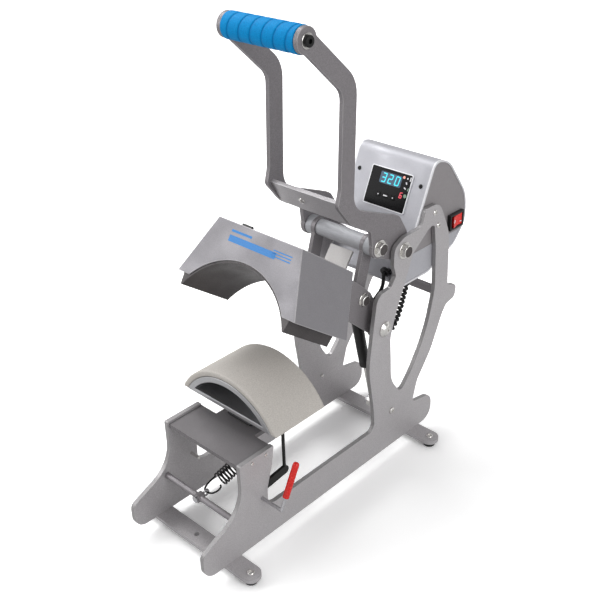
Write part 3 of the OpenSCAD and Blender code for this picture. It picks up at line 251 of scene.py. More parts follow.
def powderCoat(name, dark, light, rough, metal, fleckMm, peelMm, peelDepth):
    # baked polyester powder on cut steel: satin, with a fine silver fleck, slight orange peel and
    # faint handling smudges that change the gloss more than the colour
    material, tree, shader = newMaterial(name, rough, metal)
    fleck = mixColours(tree, spreadOver(tree, grain(tree, fleckMm, 3.0), 0.0, 1.0), dark, light)
    smudge = spreadOver(tree, grain(tree, 38.0, 3.0), 0.0, 0.16)  # as wide as a hand's touch
    tree.links.new(mixColours(tree, smudge, fleck, dark), shader.inputs["Base Color"])
    peel = grain(tree, peelMm, 1.0)
    gloss = mathNode(tree, "ADD", spreadOver(tree, peel, rough - 0.05, rough + 0.05), smudge)
    tree.links.new(gloss, shader.inputs["Roughness"])
    addBump(tree, shader, peel, peelDepth, 0.35)
    return material


def bareSteel(name, dark, light, rough, lineMm, metal=1.0, along=(0.08, 1, 1)):
    # turned or zinc-plated steel: a clear metal sheen with fine tool lines
    material, tree, shader = newMaterial(name, rough, metal)
    lines = grain(tree, lineMm, 2.0, along)
    setSpread(tree, shader, lines, dark, light)
    tree.links.new(spreadOver(tree, lines, rough - 0.05, rough + 0.07), shader.inputs["Roughness"])
    addBump(tree, shader, lines, 0.05, 0.2)
    return material


def mouldedPart(name, dark, light, rough, grainMm, depth, shine=0.5):
    # moulded rubber or plastic: even colour, a fine matt texture from the mould
    material, tree, shader = newMaterial(name, rough)
    shader.inputs["Specular IOR Level"].default_value = shine
    skin = grain(tree, grainMm, 2.0)
    setSpread(tree, shader, skin, dark, light)
    tree.links.new(spreadOver(tree, skin, rough - 0.05, rough + 0.06), shader.inputs["Roughness"])
    addBump(tree, shader, skin, depth, 0.3)
    return material


def litMark(name, colour, strength):
    # a lit segment or lamp behind tinted acrylic: even glow, no grain that shows
    material, tree, shader = newMaterial(name, 0.3)
    shader.inputs["Base Color"].default_value = linear(colour)
    shader.inputs["Emission Color"].default_value = linear(colour)
    shader.inputs["Emission Strength"].default_value = strength
    return material


def wrapTape(name, dark, light, seamShadeColour, rough, weaveMm, shine):
    # cotton-backed vinyl tape wound in a spiral: matt, with painted shade where one turn dips under the next,
    # and with a fine weave that is drawn 1 mm wide so that it shows
    material, tree, shader = newMaterial(name, rough)
    seam = addNode(tree, "ShaderNodeAttribute", attribute_name="seam").outputs["Fac"]
    skin = grain(tree, weaveMm, 1.0)
    base = mixColours(tree, spreadOver(tree, skin, 0.0, 1.0), dark, light)
    tree.links.new(mixColours(tree, seam, base, seamShadeColour), shader.inputs["Base Color"])
    shader.inputs["Specular IOR Level"].default_value = shine
    addBump(tree, shader, skin, 0.12, 0.5)
    return material


# each finish: dark and light shade, roughness, metal where it has any, then sizes and depths in mm. Fleck and
# peel of a real coat are under 0.3 mm; they are drawn near 1 mm so that they show
finishes = {
    "plateCoat": powderCoat("silverGreyPowderCoat", "#B0ADAF", "#C9C6C8", 0.38, 0.40, 0.9, 1.6, 0.12),
    # painted shading on the plates' cut faces and rounds, darker than the plate coat
    "plateEdgeShading": powderCoat("paintedPlateEdgeShading", "#8F8D8E", "#A6A4A5", 0.34, 0.5, 0.7, 1.2, 0.05),
    "armCoat": powderCoat("darkGreyPowderCoat", "#7D797C", "#928E91", 0.38, 0.35, 0.9, 1.6, 0.12),
    # painted highlight on the arms' rounded edges
    "armEdgeHighlight": powderCoat("paintedArmEdgeHighlight", "#9A9799", "#B2AFB1", 0.34, 0.4, 0.7, 1.2, 0.05),
    "coverCoat": powderCoat("satinSilverPowderCoat", "#868488", "#949296", 0.40, 0.4, 0.7, 1.4, 0.08),
    # painted highlight on the cover's rounded edges
    "coverEdgeHighlight": powderCoat("paintedCoverEdgeHighlight", "#A6A4A7", "#BAB8BB", 0.36, 0.4, 0.6, 1.2, 0.05),
    "caseCoat": powderCoat("paleSilverPowderCoat", "#B4B4BA", "#C5C5CB", 0.42, 0.35, 0.6, 1.2, 0.06),
    # painted highlight on the case's lips and rounds, the display rim and the cross plate's edges
    "caseEdgeHighlight": powderCoat("paintedCaseEdgeHighlight", "#DEDEE2", "#EEEEF1", 0.30, 0.3, 0.6, 1.2, 0.03),
    "endCoat": powderCoat("greyEndCoat", "#918D8F", "#A09C9E", 0.44, 0.3, 0.8, 1.4, 0.08),
    "bracketCoat": powderCoat("palePlateCoat", "#D6D3D2", "#E2E0DE", 0.46, 0.25, 0.7, 1.4, 0.06),
    "shelfCoat": powderCoat("dullShelfCoat", "#6F6C6E", "#817E80", 0.50, 0.3, 0.9, 1.6, 0.12),
    "nonStick": powderCoat("greyNonStickCoat", "#3E3A3B", "#4F4B4C", 0.34, 0.35, 0.8, 1.2, 0.06),
    "zincPlate": bareSteel("brightZincPlate", "#D2D0CD", "#EBE9E6", 0.20, 0.5),
    # bolt end faces darkened: a painted dark reflection
    "headFaceDarkReflection": bareSteel("paintedDarkReflectionFace", "#4A4646", "#5E5959", 0.46, 0.6, metal=0.6, along=(1, 1, 1)),
    "turnedSteel": bareSteel("turnedSteel", "#ADACAF", "#C6C5C8", 0.30, 0.4),
    "tubeSteel": bareSteel("satinTube", "#A9AAAE", "#BBBCC0", 0.56, 0.6, metal=0.3),
    "castAluminium": bareSteel("castAluminium", "#A8A8AA", "#BEBEC0", 0.42, 0.8, along=(1, 1, 1)),
    "blackOxide": powderCoat("oiledBlackOxide", "#141414", "#202021", 0.30, 0.4, 0.6, 1.0, 0.04),
    "blackRubber": mouldedPart("blackRubber", "#0B0B0C", "#161618", 0.50, 0.6, 0.08),
    "blackNylon": mouldedPart("blackNylon", "#0A0A0B", "#131315", 0.36, 0.5, 0.04),
    "blueWrap": wrapTape("blueGripTape", "#0086CA", "#0499DE", "#0070B0", 0.62, 1.0, 0.10),
    "redVinyl": mouldedPart("dippedRedVinyl", "#D0150F", "#E4221A", 0.22, 2.4, 0.05),
    "redLens": mouldedPart("redAcrylicRocker", "#E21008", "#F51A10", 0.18, 2.0, 0.02),
    "siliconePad": mouldedPart("siliconeRubber", "#B9B4AE", "#CBC6C0", 0.62, 1.1, 0.15),
    "glassCloth": mouldedPart("glassFibreMat", "#BDB6A5", "#D2CCBC", 0.8, 0.9, 0.3),
    "solderMask": mouldedPart("solderMask", "#1C5231", "#24663E", 0.3, 1.5, 0.02),
    "displayBlack": mouldedPart("smokedAcrylic", "#08080A", "#0D0C0F", 0.24, 1.2, 0.01, shine=0.10),
    "printWhite": mouldedPart("whitePadPrint", "#E4E3E6", "#F6F5F8", 0.5, 0.6, 0.01),
    "printGreen": mouldedPart("greenishPadPrint", "#7F9C86", "#94AE9A", 0.5, 0.6, 0.01),
    "printBlue": mouldedPart("blueScreenPrint", "#1878C4", "#2487D2", 0.42, 0.8, 0.01),
    "litCyan": litMark("litCyanSegment", "#2CCBDD", 0.62),
    "cyanHaze": litMark("dimCyanHaze", "#0A3F5C", 0.25),
    "litRed": litMark("litRedMark", "#DE4654", 0.45),
    "litAmber": litMark("litAmberLamp", "#E79A88", 0.45),
}
print("finishes made:", len(finishes))


# making meshes
def meshOf(name, verts, faces, edges=()):
    mesh = bpy.data.meshes.new(name)
    mesh.from_pydata([tuple(v) for v in verts], list(edges), faces)
    return mesh


def copyOfNode(node, name):
    # the CAD node's own faces as a new mesh
    source = nodes[node].data
    return meshOf(name, [v.co for v in source.vertices], [p.vertices[:] for p in source.polygons])


def applyModifiers(piece):
    # the evaluated shape becomes the piece's own plain mesh
    mesh = bpy.data.meshes.new_from_object(piece.evaluated_get(bpy.context.evaluated_depsgraph_get()))
    piece.modifiers.clear()
    old = piece.data
    piece.data = mesh
    bpy.data.meshes.remove(old)


def giveBody(piece, body, look=None, replaced=(), crease=30):
    # finish, smooth shading with creases kept, and the body that it moves with
    if look:
        piece.data.materials.clear()
        piece.data.materials.append(finishes[look])
    if crease:
        piece.data.shade_smooth()
        piece.data.set_sharp_from_angle(angle=radians(crease))
    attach(piece, body)
    if replaced:
        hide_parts(*replaced)
    return piece


def newTree(name, **inputs):
    # a geometry tree with its inputs, each named with its kind
    tree = bpy.data.node_groups.new(name, "GeometryNodeTree")
    tree.interface.new_socket("shape", in_out="INPUT", socket_type="NodeSocketGeometry")
    for label, kind in inputs.items():
        tree.interface.new_socket(label, in_out="INPUT", socket_type="NodeSocket" + kind)
    tree.interface.new_socket("result", in_out="OUTPUT", socket_type="NodeSocketGeometry")
    return tree, addNode(tree, "NodeGroupInput").outputs


def endTree(tree, shape, finish):
    # copies become real mesh and get their finish
    real = addNode(tree, "GeometryNodeRealizeInstances", {0: shape})
    painted = addNode(tree, "GeometryNodeSetMaterial", {0: real.outputs[0], "Material": finish})
    addNode(tree, "NodeGroupOutput", {0: painted.outputs[0]})
    return tree


def runTree(tree, piece, **values):
    # inputs are set by identifier before the first look at the result, which then becomes plain mesh
    modifier = piece.modifiers.new(tree.name, "NODES")
    modifier.node_group = tree
    for socket in tree.interface.items_tree:
        if socket.in_out == "INPUT" and socket.name in values:
            modifier[socket.identifier] = values[socket.name]
    applyModifiers(piece)
    return piece


def makeTubeTree():
    # a round bar along a line of points
    tree, given = newTree("tubeAlongLine", radius="Float", sides="Int", finish="Material")
    line = addNode(tree, "GeometryNodeMeshToCurve", {"Mesh": given["shape"]})
    ring = addNode(tree, "GeometryNodeCurvePrimitiveCircle", {"Resolution": given["sides"], "Radius": given["radius"]})
    tube = addNode(tree, "GeometryNodeCurveToMesh", {"Curve": line.outputs[0], "Profile Curve": ring.outputs[0],
                                                     "Fill Caps": True})
    return endTree(tree, tube.outputs[0], given["finish"])


def makeCopyTree():
    # one shape set on every point, turned by the point's own "turn"
    tree, given = newTree("copyOnPoints", pattern="Object", finish="Material")
    pattern = addNode(tree, "GeometryNodeObjectInfo", {"Object": given["pattern"]})
    turn = addNode(tree, "GeometryNodeInputNamedAttribute", {"Name": "turn"}, data_type="FLOAT_VECTOR")
    rotation = addNode(tree, "FunctionNodeEulerToRotation", {0: turn.outputs[0]})
    copied = addNode(tree, "GeometryNodeInstanceOnPoints",
                     {"Points": given["shape"], "Instance": pattern.outputs["Geometry"],
                      "Rotation": rotation.outputs[0]})
    return endTree(tree, copied.outputs[0], given["finish"])


tubeTree = makeTubeTree()
copyTree = makeCopyTree()


def tubePiece(name, points, radius, look, body, sides=12, replaced=()):
    line = meshOf(name, points, [], [(i, i + 1) for i in range(len(points) - 1)])
    piece = runTree(tubeTree, linkPiece(name, line), radius=radius * mm, sides=sides, finish=finishes[look])
    return giveBody(piece, body, None, replaced, crease=50)


def turnedShape(rows, sides):
    # rows of (along, radius) in mm about X, with a third number where the row is cut to a hexagon that wide
    verts, faces = [], []
    for row in rows:
        for k in range(sides):
            angle = 2 * pi * k / sides
            reach = row[1]
            if len(row) > 2:
                reach = min(reach, row[2] / 2 / cos((angle + pi / 6) % (pi / 3) - pi / 6))
            verts.append((row[0] * mm, reach * cos(angle) * mm, reach * sin(angle) * mm))
    for i in range(len(rows) - 1):
        for k in range(sides):
            j = (k + 1) % sides
            faces.append((i * sides + k, i * sides + j, (i + 1) * sides + j, (i + 1) * sides + k))
    faces.append(tuple(range(sides))[::-1])
    faces.append(tuple(range((len(rows) - 1) * sides, len(rows) * sides)))
    return verts, faces


def copiedPiece(name, rows, spots, look, body, replaced=(), sides=48):
    # rows turned about X, one copy for each (point, direction)
    pattern = linkPiece(name + "Pattern", meshOf(name + "Pattern", *turnedShape(rows, sides)))
    points = meshOf(name, [spot for spot, way in spots], [])
    turn = points.attributes.new("turn", "FLOAT_VECTOR", "POINT")
    for i, (spot, way) in enumerate(spots):
        turn.data[i].vector = Vector(way).to_track_quat("X", "Z").to_euler()
    piece = runTree(copyTree, linkPiece(name, points), pattern=pattern, finish=finishes[look])
    bpy.data.objects.remove(pattern)
    return giveBody(piece, body, None, replaced)


def bothEnds(x, y, z):
    # the same place on the right and the left, each facing outwards
    return [(place(x, y, z), (1, 0, 0)), (place(-x, y, z), (-1, 0, 0))]


def keepFlat(piece):
    # broad faces keep their own normals and only the rounded edges shade across
    piece.data.shade_smooth()
    piece.data.set_sharp_from_angle(angle=radians(50))
    weighted = piece.modifiers.new("flat", "WEIGHTED_NORMAL")
    weighted.mode = "FACE_AREA"
    weighted.weight = 80
    weighted.keep_sharp = True
    applyModifiers(piece)


def roundEdges(piece, width, slot=-1):
    # sharp edges get a small round, as paint or a file leaves them, with a finish slot of its own where given
    bevel = piece.modifiers.new("edge", "BEVEL")
    bevel.width = width * mm
    bevel.segments = 2
    bevel.limit_method = "ANGLE"
    bevel.angle_limit = radians(28)
    bevel.material = slot
    applyModifiers(piece)


def mergedShape(mesh, near):
    # points nearer than that become one and faces in one plane become one
    shape = bmesh.new()
    shape.from_mesh(mesh)
    bmesh.ops.remove_doubles(shape, verts=shape.verts, dist=near)
    bmesh.ops.dissolve_limit(shape, angle_limit=radians(0.3), verts=shape.verts, edges=shape.edges)
    return shape


def softEdged(node, look, width, edge=None, cut=False):
    # a merged copy of the CAD node with rounded edges, whose rounds take the edge finish where one is given: painted
    # highlight or shading
    mesh = copyOfNode(node, node + "Skin")
    shape = mergedShape(mesh, 2e-6)
    if cut:
        # a plate lying across X: its sawn narrow faces take the edge's finish, a painted shading
        for face in shape.faces:
            face.material_index = int(abs(face.normal.x) < 0.5)
    shape.to_mesh(mesh)
    shape.free()
    mesh.materials.append(finishes[look])
    if edge:
        mesh.materials.append(finishes[edge])
    piece = linkPiece(node + "Skin", mesh)
    roundEdges(piece, width, 1 if edge else -1)
    keepFlat(piece)
    return giveBody(piece, bodyOf[node], None, [node], None)


def roundedOutline(corners, step=6):
    # an outline whose corners (y, z, radius) are rounded off
    points = []
    for i, (by, bz, r) in enumerate(corners):
        a, b, c = Vector(corners[i - 1][:2]), Vector((by, bz)), Vector(corners[(i + 1) % len(corners)][:2])
        toA, toC = (a - b).normalized(), (c - b).normalized()
        half = toA.angle(toC) / 2
        back = min(r / tan(half), 0.49 * min((a - b).length, (c - b).length))  # never past a side's middle
        radius = back * tan(half)
        centre = b + (toA + toC).normalized() * back / cos(half)
        first, last = b + toA * back - centre, b + toC * back - centre
        start = atan2(first.y, first.x)
        sweep = (atan2(last.y, last.x) - start + pi) % (2 * pi) - pi
        steps = max(1, ceil(abs(degrees(sweep)) / step))
        points += [centre + radius * Vector((cos(start + sweep * s / steps), sin(start + sweep * s / steps)))
                   for s in range(steps + 1)]
    return points


def insetOutline(points, depth):
    # the same outline, moved inwards; the points run clockwise in y and z
    moved = []
    for i, b in enumerate(points):
        a, c = points[i - 1], points[(i + 1) % len(points)]
        before, after = (b - a).normalized(), (c - b).normalized()
        inA, inC = Vector((before.y, -before.x)), Vector((after.y, -after.x))
        way = (inA + inC).normalized()
        moved.append(b + way * depth / max(0.3, way.dot(inC)))  # a sharp corner doesn't run away
    return moved


def slab(outline, holes, toPoint, low, high):
    # a plate between two levels, with its holes; toPoint turns (u, v, level) into a place
    loops = [outline] + holes
    flat = [p for loop in loops for p in loop]
    n = len(flat)
    verts = [toPoint(p[0], p[1], low) for p in flat] + [toPoint(p[0], p[1], high) for p in flat]
    cuts = geometry.tessellate_polygon([[Vector((p[0], p[1], 0)) for p in loop] for loop in loops])
    faces = [tuple(cut) for cut in cuts] + [tuple(i + n for i in cut[::-1]) for cut in cuts]
    start = 0
    for loop in loops:
        for i in range(len(loop)):
            j = (i + 1) % len(loop)
            faces.append((start + i, start + j, start + j + n, start + i + n))
        start += len(loop)
    return verts, faces


def plainPiece(name, parts, look, body, replaced=(), width=0.0):
    # one piece from several closed shapes, with its normals set outwards and a small round on its edges
    verts, faces = [], []
    for someVerts, someFaces in parts:
        faces += [tuple(i + len(verts) for i in face) for face in someFaces]
        verts += someVerts
    mesh = meshOf(name, verts, faces)
    shape = mergedShape(mesh, 1e-7)
    bmesh.ops.recalc_face_normals(shape, faces=shape.faces)
    shape.to_mesh(mesh)
    shape.free()
    piece = linkPiece(name, mesh)
    if not width:
        return giveBody(piece, body, look, replaced)
    roundEdges(piece, width)
    piece.data.materials.append(finishes[look])
    keepFlat(piece)
    return giveBody(piece, body, None, replaced, None)


def rectangle(x, y, w, h):
    return [Vector((x - w / 2, y - h / 2)), Vector((x + w / 2, y - h / 2)), Vector((x + w / 2, y + h / 2)),
            Vector((x - w / 2, y + h / 2))]


def roundRect(x, y, w, h, r):
    return roundedOutline([(p.x, p.y, r) for p in rectangle(x, y, w, h)], 15)


def disc(x, y, r):
    return [Vector((x + r * cos(2 * pi * k / 24), y + r * sin(2 * pi * k / 24))) for k in range(24)]


# leads: the same routes as the part's own, in mm; the coiled one winds round its route
leads = {"sheathMm": 5.0, "coilWireMm": 4.2, "coilMm": 10.5, "coilPitchMm": 6.4, "pointsPerTurn": 16,
         "tailMm": 7.0, "steps": {"straight": 6, "heater": 5, "coiled": 80},
         "straight": [(41, 300.34, 261.91), (41, 298.94, 260.91), (41, 298.6, 254), (41, 297.2, 244.5), (40, 294, 237),
                      (39, 289, 232), (37.5, 283, 225), (36.2, 279, 215), (35.5, 272.6, 201.5)],
         "coiled": [(50, 336, 240), (50, 334.5, 230), (50, 329, 216), (49.5, 325, 203), (49, 319, 190),
                    (47.5, 310.5, 176), (43.5, 298, 169), (38.5, 285.5, 172), (36, 276.5, 182), (35.5, 270.5, 193.5)],
         "heater": [(41.3, 268, 201), (42.5, 267.7, 201), (44, 265.5, 201.5), (44.4, 260, 203), (44.4, 245, 206),
                    (44.4, 220, 206), (43, 195, 207), (40, 170, 214), (38, 150, 219), (36, 136, 217)]}


def smoothPath(corners, steps):
    # a smooth line through the given points
    points = [Vector(p) for p in corners]
    line = []
    for i in range(len(points) - 1):
        a, b = points[max(i - 1, 0)], points[i]
        c, d = points[i + 1], points[min(i + 2, len(points) - 1)]
        for s in range(steps):
            t = s / steps
            line.append(0.5 * (2 * b + (c - a) * t + (2 * a - 5 * b + 4 * c - d) * t * t
                               + (3 * b - a - 3 * c + d) * t ** 3))
    return line + [points[-1]]


def lengthOf(line):
    return sum((line[i + 1] - line[i]).length for i in range(len(line) - 1))


def windRound(line, radius, pitch, perTurn, tail):
    # a helix round a line, drawn in to the line itself over a tail at each end
    total = lengthOf(line)
    count = int(total / pitch * perTurn)
    side = Vector((1, 0, 0))
    wound, walked, k = [], 0.0, 0
    for i in range(count + 1):
        s = total * i / count
        while k < len(line) - 2 and walked + (line[k + 1] - line[k]).length < s:
            walked += (line[k + 1] - line[k]).length
            k += 1
        step = line[k + 1] - line[k]
        along = step.normalized()
        side = (side - along * side.dot(along)).normalized()
        near = min(1.0, s / tail, (total - s) / tail)
        reach = radius * near * near * (3 - 2 * near)
        angle = 2 * pi * i / perTurn
        wound.append(line[k] + along * (s - walked) + (side * cos(angle) + along.cross(side) * sin(angle)) * reach)
    return wound


def leadPiece(name, node, line, diameter, sides=12):
    # a free lead that ends inside the part at both ends
    points = [place(*p) for p in line]
    body = bodyOf[node]
    piece = tubePiece(name, points, diameter / 2, "blackRubber", body, sides, [node])
    print(name, "is", round(lengthOf(points) / mm), "mm long")


routes = {name: smoothPath(leads[name], steps) for name, steps in leads["steps"].items()}
leadPiece("straightLead", "straight_lead", routes["straight"], leads["sheathMm"])
leadPiece("heaterLead", "heater_lead", [Vector(openHead(*p)) for p in routes["heater"]], leads["sheathMm"])
coilLine = windRound(routes["coiled"], (leads["coilMm"] - leads["coilWireMm"]) / 2, leads["coilPitchMm"],
                     leads["pointsPerTurn"], leads["tailMm"])
leadPiece("coiledLead", "coiled_lead", coilLine, leads["coilWireMm"], 8)
print("leads made")


# CAD nodes shown with rounded edges: finish, edge round in mm, finish of the edge with its painted highlight or
# shading
skins = {
    "side_plate_left": ("plateCoat", 0.7, "plateEdgeShading"), "side_plate_right": ("plateCoat", 0.7, "plateEdgeShading"),
    "front_foot_bar": ("plateCoat", 0.8, "plateEdgeShading"), "rear_foot_bar": ("plateCoat", 0.8, "plateEdgeShading"),
    "shelf_plate": ("shelfCoat", 0.6, "plateEdgeShading"), "spring_rod": ("armCoat", 0.5, None),
    "spring_eye": ("turnedSteel", 0.3, None), "rear_tie_bar": ("armCoat", 0.5, "armEdgeHighlight"),
    "lower_tie_rod": ("turnedSteel", 0.4, None), "handle_pivot_shaft": ("turnedSteel", 0.3, None),
    "handle_pivot_spacers": ("turnedSteel", 0.4, None), "head_pivot_pins": ("turnedSteel", 0.3, None),
    "platen_post": ("armCoat", 0.6, None), "lower_platen": ("castAluminium", 1.0, None),
    "hold_down_rod": ("turnedSteel", 0.3, None), "hold_down_yoke": ("blackOxide", 0.4, None),
    "handle_arm_left": ("armCoat", 0.6, "armEdgeHighlight"), "handle_arm_right": ("armCoat", 0.6, "armEdgeHighlight"),
    "handle_cross_plate": ("plateCoat", 0.6, "caseEdgeHighlight"), "grip_tube": ("turnedSteel", 0.5, None),
    "link_arms": ("armCoat", 0.6, "armEdgeHighlight"), "toggle_tube": ("tubeSteel", 0.5, None),
    "toggle_collars": ("tubeSteel", 0.8, None), "head_arms": ("armCoat", 0.5, "armEdgeHighlight"),
    "head_spacers": ("turnedSteel", 0.4, None), "head_cross_bars": ("armCoat", 0.5, None),
    "heater_studs": ("turnedSteel", 0.3, None), "heater_plate": ("nonStick", 0.8, None),
    "thermal_cutout": ("blackNylon", 0.5, None), "head_cover": ("coverCoat", 0.9, "coverEdgeHighlight"),
    "cover_bracket": ("bracketCoat", 0.5, None), "gas_rod": ("zincPlate", 0.5, None),
    "housing_shell": ("caseCoat", 0.6, "caseEdgeHighlight"), "display_module": ("displayBlack", 0.4, None),
    "key_left": ("displayBlack", 0.3, None), "key_middle": ("displayBlack", 0.3, None),
    "key_right": ("displayBlack", 0.3, None), "control_board": ("solderMask", 0.2, None),
    "rocker_bezel": ("blackNylon", 0.5, None), "rocker": ("redLens", 0.6, None),
    "power_inlet": ("blackNylon", 0.5, None), "lead_holders": ("blackRubber", 0.5, None),
}
for node, (look, width, edge) in skins.items():
    softEdged(node, look, width, edge, node.startswith("side_plate"))
print("softened pieces:", len(skins))


# feet, screws and bolts; rows are mm along the axis and radius, and the width of a hexagon or its socket
feet = {"x": 99, "rows": [-20, 338], "barMm": 6}
footSpots = [(x, y) for x in (-feet["x"], feet["x"]) for y in feet["rows"]]
footRows = [(-0.4, 2.6), (-0.4, 8.4), (0.2, 9.0), (2.0, 9.0), (2.6, 8.5), (3.2, 8.9), (4.6, 8.8), (5.2, 8.3),
            (5.8, 8.6), (7.4, 8.3), (8.0, 7.6), (8.0, 4.2), (4.2, 4.0)]
copiedPiece("rubberFeet", footRows, [(place(x, y, -feet["barMm"]), (0, 0, -1)) for x, y in footSpots],
            "blackRubber", "frame", ["rubber_feet"])
# pan head with a driver recess, and its shank down through bar and foot
panRows = [(-9.6, 2.6), (-9.2, 3.0), (0, 3.0), (0, 4.7), (0.5, 5.0), (1.2, 4.8), (1.9, 4.1), (2.4, 3.0),
           (2.4, 1.7, 3.0), (1.0, 1.6, 3.0)]
copiedPiece("footBolts", panRows, [(place(x, y, 0), (0, 0, 1)) for x, y in footSpots], "zincPlate", "frame",
            ["foot_bolts"])

screws = {"shelf": [(20, 127), (43, 127)], "spare": (33, 65.5)}
smallRows = [(-17, 1.2), (-16.6, 1.5), (0, 1.5), (0, 2.6), (0.5, 2.7), (1.2, 2.3), (1.6, 1.4), (1.6, 0.7), (0.9, 0.6)]
tieRows = [(-19, 2.2), (-18.6, 2.5), (0, 2.5), (0, 4.7), (0.5, 5.0), (1.5, 4.8), (2.2, 3.9), (2.5, 2.8),
           (2.5, 1.7, 3.0), (1.2, 1.6, 3.0)]
spareRows = [(-21, 1.9), (-20.6, 2.2), (0, 2.2), (0, 3.6), (0.4, 3.8), (1.2, 3.5), (1.6, 2.4)]
copiedPiece("shelfScrews", smallRows, [spot for at in screws["shelf"] for spot in bothEnds(plateOut, *at)],
            "zincPlate", "frame", ["frame_screws"], 24)
tieSpots = bothEnds(plateOut, *tie)
copiedPiece("studScrew", tieRows, tieSpots[:1], "zincPlate", "frame")
shortRows = [(-9.0, 2.2), (-8.6, 2.5)] + tieRows[2:]  # the same head on a shorter shank
copiedPiece("shortScrew", shortRows, tieSpots[1:], "zincPlate", "frame")
copiedPiece("sparePin", spareRows, bothEnds(plateOut, *screws["spare"])[1:], "zincPlate", "frame", (), 24)

# washer and hexagon head, chamfered at both ends; the end face is dished and coloured dark as a painted dark
# reflection.
# shank and washer are radius and length; each pair faces outwards from x at (y, z)
bolts = {"pivotBolts": {"shank": (5.0, 0.5), "washer": (11.5, 1.5), "flats": 16.0, "headMm": 6.0, "x": plateOut,
                        "at": handlePivot, "body": "frame", "node": "pivot_bolts"},
         "toggleBolts": {"shank": (6.0, 6.0), "washer": (11.5, 1.5), "flats": 16.0, "headMm": 6.0, "x": armOut,
                         "at": toggle, "body": "handle", "node": "toggle_bolts"},
         "linkPins": {"shank": (5.0, 14.7), "washer": (9.0, 1.5), "flats": 14.0, "headMm": 4.5, "x": 53.0,
                      "at": linkPivot, "body": "head", "node": "link_pins"}}


def hexBoltRows(shank, shankLength, washer, washerT, flats, head):
    top = washerT + head
    wide = flats / 2 / cos(pi / 6)
    return [(-shankLength, shank - 0.4), (-shankLength + 0.4, shank), (0, shank), (0, washer - 0.4), (0.3, washer),
            (washerT - 0.3, washer), (washerT, washer - 0.4), (washerT, wide - 0.6, flats),
            (washerT + 0.4, wide, flats), (top - 1.7, wide, flats), (top - 1.1, wide - 0.35, flats),
            (top - 0.5, wide - 0.8, flats), (top - 0.05, flats / 2 - 0.4, flats), (top, flats / 2 - 0.8),
            (top - 0.6, flats / 2 - 1.0)]


def faceRows(washerT, flats, head):
    top = washerT + head
    return [(top - 0.7, flats / 2 - 1.1), (top - 0.1, flats / 2 - 0.9), (top + 0.1, flats / 2 - 1.2),
            (top - 0.1, flats / 2 - 1.9), (top - 0.25, flats / 4)]


for boltName, bolt in bolts.items():
    boltSpots = bothEnds(bolt["x"], *bolt["at"])
    copiedPiece(boltName, hexBoltRows(*bolt["shank"], *bolt["washer"], bolt["flats"], bolt["headMm"]), boltSpots,
                "zincPlate", bolt["body"], [bolt["node"]])
    copiedPiece(boltName[:-1] + "Faces", faceRows(bolt["washer"][1], bolt["flats"], bolt["headMm"]), boltSpots,
                "headFaceDarkReflection", bolt["body"])
domeRows = [(-0.5, 5.0), (0, 5.0), (0, 10.5), (0.4, 11.0), (1.4, 11.0), (2.0, 10.4), (2.6, 9.0), (3.6, 8.0),
            (4.6, 6.6), (5.4, 4.8), (5.8, 3.4), (6.0, 2.6), (6.0, 1.9, 3.2), (4.8, 1.8, 3.2)]
copiedPiece("headPivotDomes", domeRows, bothEnds(plateOut, *headPivot), "zincPlate", "frame")
print("feet, screws and bolts made")


# handle
grip = {"at": (141.5, 602.0), "half": 55.0, "tubeR": 13.0, "outerR": 15.8, "bands": 6.2, "dipMm": 0.9,
        "pointsAlong": 260, "pointsAround": 73, "lapPower": 9.0, "heelPower": 26.0, "endShare": 0.4985}


def makeWrapTree():
    # a spiral of tape on a tube: a grid is rolled up, each turn dips at its seam, and the ends close on the tube
    tree, given = newTree("spiralTape", half="Float", inner="Float", outer="Float", bands="Float", dip="Float",
                          along="Int", around="Int", finish="Material")
    width = mathNode(tree, "MULTIPLY", given["half"], 2.0)
    grid = addNode(tree, "GeometryNodeMeshGrid", {"Size X": width, "Size Y": 1.0, "Vertices X": given["along"],
                                                  "Vertices Y": given["around"]})
    flat = addNode(tree, "ShaderNodeSeparateXYZ", {0: addNode(tree, "GeometryNodeInputPosition").outputs[0]})
    turn = mathNode(tree, "MULTIPLY", flat.outputs[1], 2 * pi)
    share = mathNode(tree, "DIVIDE", flat.outputs[0], width)
    phase = mathNode(tree, "ADD", mathNode(tree, "MULTIPLY", share, given["bands"]), flat.outputs[1])
    # 0 at a seam, rising quickly to 1 on one side and slowly on the other, as one turn laps the next
    within = mathNode(tree, "FRACT", phase)
    lap = mathNode(tree, "POWER", mathNode(tree, "SUBTRACT", 1.0, within), grip["lapPower"])
    heel = mathNode(tree, "POWER", within, grip["heelPower"])
    seam = mathNode(tree, "MINIMUM", mathNode(tree, "ADD", lap, heel), 1.0)
    radius = mathNode(tree, "SUBTRACT", given["outer"], mathNode(tree, "MULTIPLY", seam, given["dip"]))
    atEnd = mathNode(tree, "GREATER_THAN", mathNode(tree, "ABSOLUTE", share), grip["endShare"])
    radius = mixValues(tree, atEnd, radius, given["inner"])
    depth = mathNode(tree, "MULTIPLY", mathNode(tree, "COSINE", turn), radius)
    height = mathNode(tree, "MULTIPLY", mathNode(tree, "SINE", turn), radius)
    rolled = addNode(tree, "ShaderNodeCombineXYZ", {0: flat.outputs[0], 1: depth, 2: height})
    marked = addNode(tree, "GeometryNodeStoreNamedAttribute",
                     {"Geometry": grid.outputs[0], "Name": "seam", "Value": seam}, data_type="FLOAT", domain="POINT")
    shaped = addNode(tree, "GeometryNodeSetPosition", {"Geometry": marked.outputs[0], "Position": rolled.outputs[0]})
    closed = addNode(tree, "GeometryNodeMergeByDistance", {"Geometry": shaped.outputs[0], "Distance": 1e-6})
    return endTree(tree, closed.outputs[0], given["finish"])


